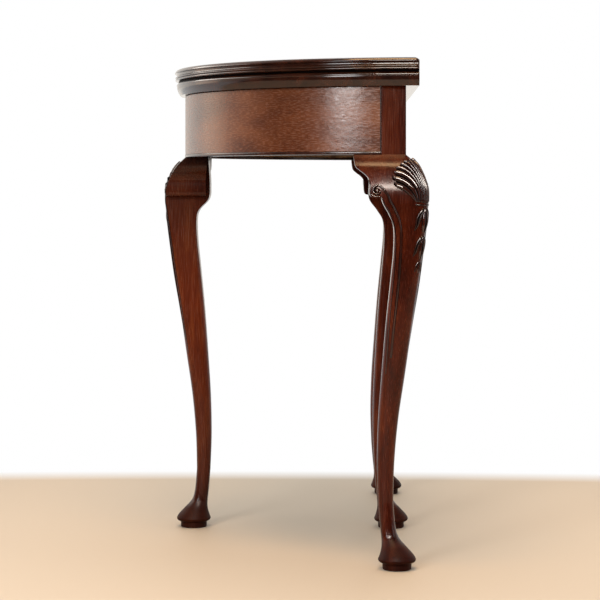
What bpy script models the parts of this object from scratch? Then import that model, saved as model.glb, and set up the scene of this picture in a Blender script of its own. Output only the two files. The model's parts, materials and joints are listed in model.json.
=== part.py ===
"""Demi-lune fold-over card table in mahogany, in metres, +Z up.

The origin is on the floor under the middle of the table. The straight back faces +Y and the
bowed front faces -Y. Four cabriole legs carry a curved frieze: one at the middle of the front,
one at each back corner, and one on a hinged rail at the middle of the back, which swings out
and carries the upper leaf when that is folded open about its brass butts.
"""

import math

import bmesh
import bpy
from mathutils import Matrix, Vector

SIDE_NAMES = {1: "right", -1: "left"}

# Clearances
SEAT_GAP = 0.0003
LEAF_GAP = 0.0004
GATE_CLEARANCE = 0.001
KNUCKLE_CLEARANCE = 0.0005
CUT_OVERRUN = 0.004

# Overall sizes
TABLE_HEIGHT = 0.750
UPPER_LEAF_THICKNESS = 0.0198
LOWER_LEAF_THICKNESS = 0.0208
FRIEZE_HEIGHT = 0.100
FRIEZE_RADIUS = 0.3705
TOP_OVERHANG = 0.017
BACK_OVERHANG = 0.0191

# Leaves, their mouldings and the playing surface
UPPER_MOULDING_DEPTH = 0.0046
LOWER_MOULDING_DEPTH = 0.0086
BACK_LIP_DEPTH = 0.0060
PLAN_CORNER_RADIUS = 0.005
BAIZE_THICKNESS = 0.0012
BAIZE_BORDER = 0.038
BAIZE_FOLD_BORDER = 0.012

# Frieze
CORE_THICKNESS = 0.022
VENEER_THICKNESS = 0.001
BEAD_HEIGHT = 0.0045
BEAD_PROJECTION = 0.0008

# Legs, measured out from the faces of their stiles
CORNER_STILE = 0.036
MIDDLE_STILE = 0.041
GATE_LEG_DEPTH = 0.050
ARRIS_RADIUS = 0.001
SHOULDER_INSET = 0.0001
KNEE_REACH = 0.0319
ANKLE_HEIGHT = 0.0965
ANKLE_SIZE = 0.0225
ANKLE_SET_BACK = 0.0293
FOOT_DIAMETER = 0.0557
FOOT_SET_BACK = 0.013
FOOT_HEIGHT = 0.0154
FOOT_SOLE_ROUND = 0.0052
PAD_DIAMETER = 0.0425
PAD_HEIGHT = 0.009

# Ear brackets
BRACKET_LENGTH = 0.0404
BRACKET_DROP = 0.0670
BRACKET_DEPTH = 0.0340

# Rails behind the frieze
RAIL_THICKNESS = 0.020
SWING_RAIL_THICKNESS = 0.0216
GATE_AXIS_X = -0.200
FINGER_COUNT = 5
FINGER_GAP = 0.0006
KNUCKLE_ARC_END = 138.0
GATE_PIN_RADIUS = 0.0025
GATE_PIN_CLEARANCE = 0.0003
MEDIAL_RAIL_HEIGHT = 0.060

# Mortise and tenon joints
TENON_THICKNESS = 0.010
TENON_HEIGHT = 0.070
FRIEZE_TENON_LENGTH = 0.018
RAIL_TENON_LENGTH = 0.016
GATE_TENON_LENGTH = 0.028
GATE_TENON_THICKNESS = 0.008

# Screw blocks under the top
BLOCK_WIDTH = 0.022
BLOCK_LENGTH = 0.050
BLOCK_HEIGHT = 0.022
BACK_BLOCK_X = 0.160
BLOCK_SCREW_LENGTH = 0.032

# Brass butts on the back edges of the leaves
BUTT_X = 0.270
BUTT_LENGTH = 0.050
BUTT_PLATE_HEIGHT = 0.0122
BUTT_PLATE_THICKNESS = 0.0013
BUTT_KNUCKLE_RADIUS = 0.003
BUTT_PIN_RADIUS = 0.0011
BUTT_SCREW_SPACING = 0.030
BUTT_SCREW_LENGTH = 0.014

# Wood screws
SCREW_RADIUS = 0.0018
SCREW_HEAD_RADIUS = 0.0036
SCREW_HEAD_HEIGHT = 0.0022
RAIL_SCREW_LENGTH = 0.034
RAIL_SCREW_SPACING = 0.060

# Facets
ARC_SEGMENTS = 46
LEG_ARC_STEPS = 3
BEAD_STEPS = 4
ROUND_SEGMENTS = 12
SCREW_SEGMENTS = 8

# Derived levels
HINGE_Z = TABLE_HEIGHT - UPPER_LEAF_THICKNESS - LEAF_GAP / 2
LOWER_LEAF_TOP = HINGE_Z - LEAF_GAP / 2
LOWER_LEAF_BOTTOM = LOWER_LEAF_TOP - LOWER_LEAF_THICKNESS
FRAME_TOP = LOWER_LEAF_BOTTOM - SEAT_GAP
FRAME_BOTTOM = FRAME_TOP - FRIEZE_HEIGHT
GATE_TOP = FRAME_TOP - GATE_CLEARANCE
GATE_RAIL_BOTTOM = FRAME_BOTTOM - GATE_CLEARANCE + SEAT_GAP

# Derived plan: the frame is as deep in front of the origin as behind it
TOP_RADIUS = FRIEZE_RADIUS + TOP_OVERHANG
FRAME_HALF_DEPTH = (FRIEZE_RADIUS - BACK_OVERHANG) / 2
ARC_CENTRE_Y = FRAME_HALF_DEPTH + BACK_OVERHANG
LEAF_BACK_Y = ARC_CENTRE_Y
HINGE_Y = LEAF_BACK_Y + LEAF_GAP / 2
STILE_FRONT_Y = FRAME_HALF_DEPTH - CORNER_STILE
CORNER_FACE_X = math.sqrt(FRIEZE_RADIUS**2 - (ARC_CENTRE_Y - STILE_FRONT_Y) ** 2)
STILE_INNER_X = CORNER_FACE_X - CORNER_STILE
VENEER_INNER_RADIUS = FRIEZE_RADIUS - VENEER_THICKNESS
CORE_OUTER_RADIUS = VENEER_INNER_RADIUS - SEAT_GAP
CORE_INNER_RADIUS = CORE_OUTER_RADIUS - CORE_THICKNESS
SWING_HALF = SWING_RAIL_THICKNESS / 2
GATE_AXIS_Y = FRAME_HALF_DEPTH - SWING_HALF
INNER_RAIL_BACK_Y = FRAME_HALF_DEPTH - SWING_RAIL_THICKNESS - GATE_CLEARANCE
INNER_RAIL_FRONT_Y = INNER_RAIL_BACK_Y - RAIL_THICKNESS
FINGER_HEIGHT = FRIEZE_HEIGHT / FINGER_COUNT

# Moulded edges: shares of the moulding's depth and of the leaf's thickness, from the top down
UPPER_EDGE_SHARES = (
    (0.15, 0.00), (0.00, 0.035), (0.00, 0.14), (0.52, 0.17), (0.65, 0.26), (0.56, 0.42),
    (0.34, 0.46), (0.22, 0.56), (0.38, 0.665), (0.56, 0.69), (0.34, 0.715), (0.26, 0.775),
    (0.46, 0.85), (0.87, 0.89), (1.00, 1.00),
)
LOWER_EDGE_SHARES = (
    (0.54, 0.00), (0.40, 0.05), (0.34, 0.14), (0.37, 0.21), (0.52, 0.33), (0.76, 0.47),
    (0.91, 0.61), (0.97, 0.85), (1.00, 1.00),
)
BACK_LIP_SHARES = ((1.00, 0.00), (0.55, 0.055), (0.15, 0.13), (0.00, 0.20))
# Shares of the turn round a corner of the leaf's plan, and the corner's least share of its radius
CORNER_TURN_SHARES = (0.35, 0.7, 1.0)
LEAST_CORNER_SHARE = 0.2

# Sway of a cabriole leg: share of the height from ankle to frieze, share of the way out from the
# ankle's face to the knee's, share of the growth from the ankle's thickness to the knee's
SWAY_SHARES = (
    (1.000, 0.361, 0.297), (0.966, 0.700, 0.670), (0.911, 0.950, 0.945), (0.868, 1.000, 0.985),
    (0.831, 0.962, 0.735), (0.795, 0.935, 0.550), (0.726, 0.848, 0.450), (0.641, 0.735, 0.418),
    (0.511, 0.541, 0.357), (0.370, 0.342, 0.268), (0.239, 0.148, 0.160), (0.112, 0.032, 0.072),
    (0.000, 0.000, 0.000),
)
# The front leg's growth at the same heights: its inner curve rises faster under the knee
FRONT_GROWTH_SHARES = (
    0.297, 0.670, 0.945, 0.950, 0.590, 0.490, 0.435, 0.418, 0.357, 0.268, 0.160, 0.072, 0.000,
)
SWAY_STEPS = 2
# How round the leg's corners are, as shares of half its width at the knee, and the height share
# below which they are nearly round: knee and flanks of a corner leg, then of a middle leg
CORNER_ROUND_SHARES = ((0.42, 0.35), (0.03, 0.30))
MIDDLE_ROUND_SHARES = ((0.22, 0.35), (0.06, 0.30))
ROUND_START_SHARE = 0.87
ROUND_FULL_SHARE = 0.97
SQUARE_TOP_SHARE = 0.98
WIDTH_GROWTH_POWER = 1.5
# Pad foot: share of the height from its widest place to the ankle, share of the way out to its
# centre, share of its growth
FOOT_SHARES = (
    (0.63, 0.15, 0.00), (0.43, 0.30, 0.05), (0.32, 0.48, 0.18), (0.20, 0.75, 0.45),
    (0.075, 0.97, 0.82), (0.00, 1.00, 1.00),
)
# Ear bracket's lower outline: share of its length out from the stile, share of its drop
BRACKET_SHARES = (
    (0.00, 0.94), (0.22, 0.94), (0.38, 0.915), (0.435, 0.84), (0.452, 0.70), (0.466, 0.53),
    (0.614, 0.42), (0.80, 0.335), (0.945, 0.24), (1.00, 0.045),
)
BRACKET_RISE_STEPS = 5
# Where the screw blocks stand behind the frieze, in degrees from its middle
FRONT_BLOCK_ANGLES = (-62.0, -30.0, 30.0, 62.0)


def material(name, colour, roughness, metallic=0.0):
    made = bpy.data.materials.new(name)
    made.use_nodes = True
    shader = made.node_tree.nodes["Principled BSDF"]
    shader.inputs["Base Color"].default_value = (*colour, 1.0)
    shader.inputs["Roughness"].default_value = roughness
    shader.inputs["Metallic"].default_value = metallic
    return made


def start_scene():
    for thing in list(bpy.data.objects):
        bpy.data.objects.remove(thing)
    for name in ("demi_lune_card_table", "cutters", "pivots"):
        bpy.context.scene.collection.children.link(bpy.data.collections.new(name))


def finish_mesh(name, shape, finish, pivot=None, smooth=True):
    """Turns a bmesh in world coordinates into an object whose origin is on its pivot."""
    bmesh.ops.recalc_face_normals(shape, faces=shape.faces)
    mesh = bpy.data.meshes.new(name)
    shape.to_mesh(mesh)
    shape.free()
    mesh.materials.append(finish)
    if smooth:
        mesh.shade_smooth()
        mesh.set_sharp_from_angle(angle=math.radians(35))
    piece = bpy.data.objects.new(name, mesh)
    bpy.data.collections["demi_lune_card_table"].objects.link(piece)
    if pivot is not None:
        mesh.transform(Matrix.Translation(-pivot.location))
        piece.parent = pivot
    return piece


def cut(piece, shape):
    """Cuts a bmesh in world coordinates out of a piece."""
    bmesh.ops.recalc_face_normals(shape, faces=shape.faces)
    mesh = bpy.data.meshes.new(piece.name + "_cut")
    shape.to_mesh(mesh)
    shape.free()
    cutter = bpy.data.objects.new(mesh.name, mesh)
    cutter.display_type = "WIRE"
    cutter.hide_render = True
    bpy.data.collections["cutters"].objects.link(cutter)
    modifier = piece.modifiers.new("cut", "BOOLEAN")
    modifier.operation = "DIFFERENCE"
    modifier.object = cutter


def pivot_at(name, place):
    empty = bpy.data.objects.new(name, None)
    empty.location = place
    bpy.data.collections["pivots"].objects.link(empty)
    return empty


def add_box(shape, low, high):
    size = Vector(high) - Vector(low)
    middle = (Vector(high) + Vector(low)) / 2
    matrix = Matrix.Translation(middle) @ Matrix.Diagonal((*size, 1.0))
    bmesh.ops.create_cube(shape, size=1.0, matrix=matrix)


def add_rod(shape, start, end, radius, end_radius=None, segments=ROUND_SEGMENTS):
    """A cylinder or cone between two points."""
    start, end = Vector(start), Vector(end)
    along = end - start
    turn = along.to_track_quat("Z", "Y").to_matrix().to_4x4()
    bmesh.ops.create_cone(
        shape,
        cap_ends=True,
        segments=segments,
        radius1=radius,
        radius2=radius if end_radius is None else end_radius,
        depth=along.length,
        matrix=Matrix.Translation((start + end) / 2) @ turn,
    )


def add_loft(shape, rings):
    """Skins rings of as many points each, and closes both ends."""
    loops = [[shape.verts.new(point) for point in ring] for ring in rings]
    count = len(loops[0])
    for lower, upper in zip(loops, loops[1:]):
        for i in range(count):
            following = (i + 1) % count
            shape.faces.new((lower[i], lower[following], upper[following], upper[i]))
    shape.faces.new(loops[0])
    shape.faces.new(loops[-1])


def add_prism(shape, outline, low_z, high_z):
    add_loft(shape, [[Vector((x, y, z)) for x, y in outline] for z in (low_z, high_z)])


def smooth_rows(rows, steps):
    """Catmull-Rom rows between the given ones, which stay."""
    made = []
    last = len(rows) - 1
    for i in range(last):
        before, start, end, after = (
            Vector(rows[max(i - 1, 0)]),
            Vector(rows[i]),
            Vector(rows[i + 1]),
            Vector(rows[min(i + 2, last)]),
        )
        for step in range(steps):
            t = step / steps
            made.append(
                0.5 * (
                    2 * start
                    + (end - before) * t
                    + (2 * before - 5 * start + 4 * end - after) * t**2
                    + (3 * start - before - 3 * end + after) * t**3
                )
            )
    made.append(Vector(rows[last]))
    return made


def leaf_outline(inset, back_inset, z):
    """The half-round plan of a leaf, drawn in from its edge and its back."""
    radius = TOP_RADIUS - inset
    back = LEAF_BACK_Y - back_inset
    corner = max(PLAN_CORNER_RADIUS - inset, PLAN_CORNER_RADIUS * LEAST_CORNER_SHARE)
    middle_y = back - corner
    reach = math.sqrt((radius - corner) ** 2 - (ARC_CENTRE_Y - middle_y) ** 2)
    tip = math.atan2(middle_y - ARC_CENTRE_Y, reach)
    points = []
    for side in (1, -1):
        arc = []
        for step in range(ARC_SEGMENTS // 2 + 1):
            angle = -math.pi / 2 + (tip + math.pi / 2) * step / (ARC_SEGMENTS // 2)
            arc.append((radius * math.cos(angle), ARC_CENTRE_Y + radius * math.sin(angle)))
        for turn in CORNER_TURN_SHARES:
            angle = tip + (math.pi / 2 - tip) * turn
            arc.append((reach + corner * math.cos(angle), middle_y + corner * math.sin(angle)))
        if side == 1:
            points += [Vector((x, y, z)) for x, y in arc]
        else:
            points += [Vector((-x, y, z)) for x, y in reversed(arc[1:])]
    return points


def share_at(shares, position):
    """Reads a list of (value, position) shares between its points."""
    for (value, start), (next_value, end) in zip(shares, shares[1:]):
        if position <= end:
            part = (position - start) / (end - start)
            return value + (next_value - value) * part
    return shares[-1][0]


def leaf(name, top_z, thickness, edge_shares, depth, lip_depth, finish, pivot=None):
    rings = []
    for inset_share, drop_share in edge_shares:
        back_inset = lip_depth * share_at(BACK_LIP_SHARES, drop_share)
        rings.append(
            leaf_outline(depth * inset_share, back_inset, top_z - thickness * drop_share)
        )
    shape = bmesh.new()
    add_loft(shape, rings)
    return finish_mesh(name, shape, finish, pivot)


def baize_shape(low_z, high_z, grow):
    """The half-round playing surface, or with grow its recess."""
    shape = bmesh.new()
    inset = BAIZE_BORDER - grow
    back_inset = BAIZE_FOLD_BORDER - grow
    add_loft(shape, [leaf_outline(inset, back_inset, z) for z in (low_z, high_z)])
    return shape


def arc_strip(name, section, end_y, finish):
    """A section of (radius, z) points swept round the front, with ends square to the depth."""
    rings = []
    for step in range(ARC_SEGMENTS + 1):
        turn = 2 * step / ARC_SEGMENTS - 1
        ring = []
        for radius, z in section:
            angle = turn * math.acos((ARC_CENTRE_Y - end_y) / radius)
            ring.append(
                Vector((radius * math.sin(angle), ARC_CENTRE_Y - radius * math.cos(angle), z))
            )
        rings.append(ring)
    shape = bmesh.new()
    add_loft(shape, rings)
    return finish_mesh(name, shape, finish)


def frieze(finishes):
    end_y = STILE_FRONT_Y - SEAT_GAP
    bead_top = FRAME_BOTTOM + BEAD_HEIGHT
    core_bottom = bead_top + SEAT_GAP
    core = arc_strip(
        "frieze_core",
        (
            (CORE_INNER_RADIUS, core_bottom),
            (CORE_OUTER_RADIUS, core_bottom),
            (CORE_OUTER_RADIUS, FRAME_TOP),
            (CORE_INNER_RADIUS, FRAME_TOP),
        ),
        end_y,
        finishes["oak"],
    )
    for side in (1, -1):
        tenon = bmesh.new()
        add_box(tenon, *frieze_tenon(side, 0.0))
        join(core, tenon)
    arc_strip(
        "frieze_veneer",
        (
            (VENEER_INNER_RADIUS, core_bottom),
            (FRIEZE_RADIUS, core_bottom),
            (FRIEZE_RADIUS, FRAME_TOP),
            (VENEER_INNER_RADIUS, FRAME_TOP),
        ),
        end_y,
        finishes["veneer"],
    )
    nose = [
        (
            FRIEZE_RADIUS + BEAD_PROJECTION * math.sin(math.pi * step / BEAD_STEPS),
            FRAME_BOTTOM + BEAD_HEIGHT * step / BEAD_STEPS,
        )
        for step in range(BEAD_STEPS + 1)
    ]
    nose += [(CORE_INNER_RADIUS, bead_top), (CORE_INNER_RADIUS, FRAME_BOTTOM)]
    arc_strip("frieze_bead", nose, end_y, finishes["mahogany"])


def frieze_tenon(side, grow):
    """Corners of the tenon that joins the frieze to a corner leg, or of its mortise."""
    middle_x = CORNER_FACE_X - VENEER_THICKNESS - SEAT_GAP - CORE_THICKNESS / 2
    middle_z = (FRAME_TOP + FRAME_BOTTOM) / 2
    half = TENON_THICKNESS / 2 + grow
    low_x, high_x = sorted((side * (middle_x - half), side * (middle_x + half)))
    start_y = STILE_FRONT_Y - CUT_OVERRUN
    end_y = STILE_FRONT_Y + FRIEZE_TENON_LENGTH + grow
    low_z = middle_z - TENON_HEIGHT / 2 - grow
    high_z = middle_z + TENON_HEIGHT / 2 + grow
    return (low_x, start_y, low_z), (high_x, end_y, high_z)


def rail_tenon(side, grow):
    """Corners of the tenon that joins the inner back rail to a corner leg, or of its mortise."""
    middle_z = (FRAME_TOP + FRAME_BOTTOM) / 2
    start_x = STILE_INNER_X - CUT_OVERRUN
    end_x = STILE_INNER_X + RAIL_TENON_LENGTH + grow
    low_x, high_x = sorted((side * start_x, side * end_x))
    high_y = INNER_RAIL_BACK_Y + grow
    low_y = INNER_RAIL_BACK_Y - TENON_THICKNESS + CUT_OVERRUN / 2 - grow
    low_z = middle_z - TENON_HEIGHT / 2 - grow
    high_z = middle_z + TENON_HEIGHT / 2 + grow
    return (low_x, low_y, low_z), (high_x, high_y, high_z)


def gate_tenon(grow):
    """Corners of the tenon that joins the swing rail to the gate leg, or of its mortise."""
    middle_z = (FRAME_TOP + FRAME_BOTTOM) / 2
    start_x = -MIDDLE_STILE / 2 - CUT_OVERRUN
    end_x = -MIDDLE_STILE / 2 + GATE_TENON_LENGTH + grow
    half = GATE_TENON_THICKNESS / 2 + grow
    low_z = middle_z - TENON_HEIGHT / 2 - grow
    high_z = middle_z + TENON_HEIGHT / 2 + grow
    return (start_x, GATE_AXIS_Y - half, low_z), (end_x, GATE_AXIS_Y + half, high_z)


def join(piece, shape):
    """Joins a bmesh in world coordinates to a piece."""
    bmesh.ops.recalc_face_normals(shape, faces=shape.faces)
    mesh = bpy.data.meshes.new(piece.name + "_joined")
    shape.to_mesh(mesh)
    shape.free()
    tool = bpy.data.objects.new(mesh.name, mesh)
    tool.display_type = "WIRE"
    tool.hide_render = True
    bpy.data.collections["cutters"].objects.link(tool)
    modifier = piece.modifiers.new("join", "BOOLEAN")
    modifier.operation = "UNION"
    modifier.object = tool


def rounded_ring(low, high, z, radii):
    """A rounded rectangle in plan, counterclockwise, with its radii from the (+, +) corner on."""
    corners = (
        (high[0], high[1], 1, 1),
        (low[0], high[1], -1, 1),
        (low[0], low[1], -1, -1),
        (high[0], low[1], 1, -1),
    )
    points = []
    for quarter, ((x, y, side_x, side_y), radius) in enumerate(zip(corners, radii)):
        for step in range(LEG_ARC_STEPS + 1):
            angle = math.pi / 2 * (quarter + step / LEG_ARC_STEPS)
            points.append(
                Vector(
                    (
                        x + radius * (math.cos(angle) - side_x),
                        y + radius * (math.sin(angle) - side_y),
                        z,
                    )
                )
            )
    return points


def sway(stile, share_row):
    """Height, outer face and inner face of the leg's template at one row of shares."""
    height_share, out_share, growth_share = share_row
    ankle_face = ANKLE_SIZE / 2 - ANKLE_SET_BACK
    z = ANKLE_HEIGHT + (FRAME_BOTTOM - ANKLE_HEIGHT) * height_share
    outer = ankle_face + (KNEE_REACH - ankle_face) * out_share
    thickness = ANKLE_SIZE + (KNEE_REACH + stile - ANKLE_SIZE) * growth_share
    return z, outer, max(outer - thickness, -stile - ANKLE_SIZE)


def knee_face(z):
    """How far the knee stands out of its stile at a height, for the brackets beside it."""
    rows = [sway(CORNER_STILE, row) for row in smooth_rows(SWAY_SHARES, BRACKET_RISE_STEPS)]
    for upper, lower in zip(rows, rows[1:]):
        if z >= lower[0]:
            part = (z - lower[0]) / (upper[0] - lower[0])
            return max(lower[1] + (upper[1] - lower[1]) * part, 0.0)
    return 0.0


def roundness(height_share, start_share, end_share):
    """How round a corner of the section is: from a start share at the knee to nearly 1."""
    part = (ROUND_START_SHARE - height_share) / (ROUND_START_SHARE - end_share)
    return start_share + (ROUND_FULL_SHARE - start_share) * min(max(part, 0.0), 1.0)


def foot_rings(centre_x, centre_y):
    """Rings of the turned pad foot. The centre functions take a share of the way out."""
    rings = []
    for height_share, out_share, growth_share in FOOT_SHARES:
        z = FOOT_HEIGHT + (ANKLE_HEIGHT - FOOT_HEIGHT) * height_share
        half = (ANKLE_SIZE + (FOOT_DIAMETER - ANKLE_SIZE) * growth_share) / 2
        rings.append((centre_x(out_share), centre_y(out_share), z, half))
    sole_half = PAD_DIAMETER / 2 + (FOOT_DIAMETER - PAD_DIAMETER) / 8
    rings.append((centre_x(1.0), centre_y(1.0), FOOT_HEIGHT - FOOT_SOLE_ROUND, sole_half))
    rings.append((centre_x(1.0), centre_y(1.0), PAD_HEIGHT, PAD_DIAMETER / 2))
    rings.append((centre_x(1.0), centre_y(1.0), 0.0, PAD_DIAMETER / 2))
    return [
        rounded_ring((x - half, y - half), (x + half, y + half), z, (half * ROUND_FULL_SHARE,) * 4)
        for x, y, z, half in rings
    ]


def centre_line(out_share):
    """Distance of the leg's middle from the stile's face, between ankle and foot."""
    return -ANKLE_SET_BACK + (ANKLE_SET_BACK - FOOT_SET_BACK) * out_share


def corner_leg(side, finish):
    """A leg cut from the square, with the same template on both faces and its knee cornerwise."""
    rings = []
    low, high = (-CORNER_STILE, -CORNER_STILE), (0.0, 0.0)
    for z in (FRAME_TOP, FRAME_BOTTOM + ARRIS_RADIUS):
        rings.append(rounded_ring(low, high, z, (ARRIS_RADIUS,) * 4))
    for row in smooth_rows(SWAY_SHARES, SWAY_STEPS):
        z, outer, inner = sway(CORNER_STILE, row)
        half = (outer - inner) / 2
        knee, flank = (
            max(half * roundness(row[0], *shares), ARRIS_RADIUS) for shares in CORNER_ROUND_SHARES
        )
        if row[0] > SQUARE_TOP_SHARE:
            knee = ARRIS_RADIUS
        rings.append(
            rounded_ring((inner, inner), (outer, outer), z, (knee, flank, flank, flank))
        )
    rings += foot_rings(centre_line, centre_line)
    place = Vector((CORNER_FACE_X, FRAME_HALF_DEPTH, 0.0))
    placed = [[point + place for point in ring] for ring in rings]
    for ring in placed:
        for point in ring:
            point.x *= side
    shape = bmesh.new()
    add_loft(shape, placed)
    leg = finish_mesh(f"{SIDE_NAMES[side]}_corner_leg", shape, finish)
    mortises = bmesh.new()
    add_box(mortises, *frieze_tenon(side, SEAT_GAP))
    add_box(mortises, *rail_tenon(side, SEAT_GAP))
    cut(leg, mortises)
    return leg


def middle_leg(name, facing, depth, growths, tongue, shoulder_z, top_z, finish, pivot=None):
    """A leg set square to the frame, whose knee comes straight forward.

    depth is how far the knee reaches in behind the face, growths the leg's growth share at each
    row of the template, and tongue how far behind the face the part above the shoulder starts and
    ends.
    """
    half_stile = MIDDLE_STILE / 2
    half_tongue = half_stile - SHOULDER_INSET
    rings = []
    for z in (top_z, shoulder_z):
        low, high = (-half_tongue, -tongue[1]), (half_tongue, -tongue[0])
        rings.append(rounded_ring(low, high, z, (ARRIS_RADIUS,) * 4))
    template = [(row[0], row[1], growth) for row, growth in zip(SWAY_SHARES, growths)]
    for row in smooth_rows(template, SWAY_STEPS):
        z, outer, inner = sway(depth, row)
        z = min(z, shoulder_z)
        half_width = ANKLE_SIZE / 2
        half_width += (half_stile - half_width) * (1 - (1 - row[0]) ** WIDTH_GROWTH_POWER)
        least = min(half_width, (outer - inner) / 2)
        knee, flank = (
            max(least * roundness(row[0], *shares), ARRIS_RADIUS) for shares in MIDDLE_ROUND_SHARES
        )
        if row[0] > SQUARE_TOP_SHARE:
            knee = ARRIS_RADIUS
        rings.append(
            rounded_ring((-half_width, inner), (half_width, outer), z, (knee, knee, flank, flank))
        )
    rings += foot_rings(lambda share: 0.0, centre_line)
    shape = bmesh.new()
    placed = [
        [Vector((point.x, facing * (FRAME_HALF_DEPTH + point.y), point.z)) for point in ring]
        for ring in rings
    ]
    add_loft(shape, placed)
    return finish_mesh(name, shape, finish, pivot)


def bracket(name, place, top_z, finish, pivot=None):
    """An ear bracket: its lower edge is the ogee outline, its face swells with the knee.

    place(out, forward, z) puts a point that is so far along the rail from the stile, and so far
    forward of the rail's face, in the world.
    """
    rings = []
    for out_share, drop_share in smooth_rows(BRACKET_SHARES, 1):
        out = SEAT_GAP + BRACKET_LENGTH * out_share
        low_z = top_z - BRACKET_DROP * drop_share
        face = []
        for step in range(BRACKET_RISE_STEPS + 1):
            z = low_z + (top_z - low_z) * step / BRACKET_RISE_STEPS
            face.append((knee_face(z), z))
        section = face + [(-BRACKET_DEPTH, top_z), (-BRACKET_DEPTH, low_z)]
        rings.append([place(out, forward, z) for forward, z in section])
    shape = bmesh.new()
    add_loft(shape, rings)
    return finish_mesh(name, shape, finish, pivot)


def arc_reach(distance):
    """Half-chord of the frieze's face at a distance from the centre of its curve."""
    return math.sqrt(FRIEZE_RADIUS**2 - distance**2)


def fixed_brackets(finish):
    top_z = FRAME_BOTTOM - SEAT_GAP
    for side in (1, -1):
        name = SIDE_NAMES[side]

        def beside_corner(out, forward, z):
            y = STILE_FRONT_Y - out
            return Vector((side * (arc_reach(ARC_CENTRE_Y - y) + forward), y, z))

        def behind_corner(out, forward, z):
            return Vector((side * (STILE_INNER_X - out), FRAME_HALF_DEPTH + forward, z))

        def beside_front(out, forward, z):
            x = MIDDLE_STILE / 2 + out
            return Vector((side * x, ARC_CENTRE_Y - arc_reach(x) - forward, z))

        bracket(f"{name}_corner_front_bracket", beside_corner, top_z, finish)
        bracket(f"{name}_corner_back_bracket", behind_corner, top_z, finish)
        bracket(f"{name}_front_leg_bracket", beside_front, top_z, finish)


def gate_brackets(finish, pivot):
    for side in (1, -1):

        def beside_gate(out, forward, z):
            x = MIDDLE_STILE / 2 + out
            return Vector((side * x, FRAME_HALF_DEPTH + forward, z))

        name = f"{SIDE_NAMES[side]}_gate_leg_bracket"
        bracket(name, beside_gate, FRAME_BOTTOM - GATE_CLEARANCE, finish, pivot)


def knuckle_outline(side, far_x, clearance):
    """Plan of a rail that ends in a knuckle: side is +1 where the rail runs towards +X.

    The other end of its arc is where a chamfer at 45 degrees leaves it, which lets the gate turn.
    """
    arc_steps = ROUND_SEGMENTS
    start, end = -math.pi / 2, math.radians(KNUCKLE_ARC_END)
    points = [(far_x, GATE_AXIS_Y - SWING_HALF)]
    for step in range(arc_steps + 1):
        angle = start + (end - start) * step / arc_steps
        x = GATE_AXIS_X - side * SWING_HALF * math.cos(angle)
        points.append((x, GATE_AXIS_Y + SWING_HALF * math.sin(angle)))
    points.append((GATE_AXIS_X + side * (SWING_HALF + clearance), FRAME_HALF_DEPTH))
    points.append((far_x, FRAME_HALF_DEPTH))
    return points


def knuckle_gaps(fingers):
    """Cutter that clears the other rail's fingers, and the pin's bore."""
    shape = bmesh.new()
    for finger in fingers:
        low_z = FRAME_BOTTOM + FINGER_HEIGHT * finger - FINGER_GAP / 2
        high_z = low_z + FINGER_HEIGHT + FINGER_GAP
        if finger == 0:
            low_z -= CUT_OVERRUN
        if finger == FINGER_COUNT - 1:
            high_z += CUT_OVERRUN
        centre = (GATE_AXIS_X, GATE_AXIS_Y)
        radius = SWING_HALF + KNUCKLE_CLEARANCE
        add_rod(shape, (*centre, low_z), (*centre, high_z), radius, segments=2 * ROUND_SEGMENTS)
    return shape


def pin_bore():
    shape = bmesh.new()
    centre = (GATE_AXIS_X, GATE_AXIS_Y)
    radius = GATE_PIN_RADIUS + GATE_PIN_CLEARANCE
    low_z, high_z = FRAME_BOTTOM - CUT_OVERRUN, FRAME_TOP + CUT_OVERRUN
    add_rod(shape, (*centre, low_z), (*centre, high_z), radius)
    return shape


def rail_screw_places():
    """Screws that hold the two fixed outer rails to the inner back rail."""
    left = (-STILE_INNER_X + GATE_AXIS_X) / 2
    right = (STILE_INNER_X + MIDDLE_STILE / 2) / 2
    middle_z = (FRAME_TOP + FRAME_BOTTOM) / 2
    return {
        f"{name}_rail_screw_{number + 1}": (x + (2 * number - 1) * RAIL_SCREW_SPACING / 2, middle_z)
        for name, x in (("left", left), ("right", right))
        for number in range(2)
    }


def screw(name, head, point, finish, pivot=None):
    """A countersunk wood screw from the face of its head to its point."""
    head, point = Vector(head), Vector(point)
    along = (point - head).normalized()
    neck = head + along * SCREW_HEAD_HEIGHT
    shape = bmesh.new()
    rings = []
    turn = along.to_track_quat("Z", "Y")
    taper = point - along * SCREW_RADIUS * 2
    for middle, radius in (
        (head, SCREW_HEAD_RADIUS),
        (neck, SCREW_RADIUS),
        (taper, SCREW_RADIUS),
        (point, SCREW_RADIUS / 3),
    ):
        ring = []
        for step in range(SCREW_SEGMENTS):
            angle = 2 * math.pi * step / SCREW_SEGMENTS
            ring.append(
                middle + turn @ Vector((radius * math.cos(angle), radius * math.sin(angle), 0.0))
            )
        rings.append(ring)
    add_loft(shape, rings)
    return finish_mesh(name, shape, finish, pivot)


def add_screw_hole(shape, head, point):
    """The bore and the countersink that a screw sits in."""
    head, point = Vector(head), Vector(point)
    along = (point - head).normalized()
    neck = head + along * (SCREW_HEAD_HEIGHT + SEAT_GAP)
    start = head - along * CUT_OVERRUN
    flare = (SCREW_HEAD_RADIUS - SCREW_RADIUS) / SCREW_HEAD_HEIGHT
    wide = SCREW_HEAD_RADIUS + SEAT_GAP + flare * CUT_OVERRUN
    narrow = SCREW_RADIUS + SEAT_GAP
    turn = along.to_track_quat("Z", "Y")
    rings = []
    for middle, radius in ((start, wide), (neck, narrow), (point + along * SEAT_GAP, narrow)):
        ring = []
        for step in range(SCREW_SEGMENTS):
            angle = 2 * math.pi * step / SCREW_SEGMENTS
            ring.append(
                middle + turn @ Vector((radius * math.cos(angle), radius * math.sin(angle), 0.0))
            )
        rings.append(ring)
    add_loft(shape, rings)


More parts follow.
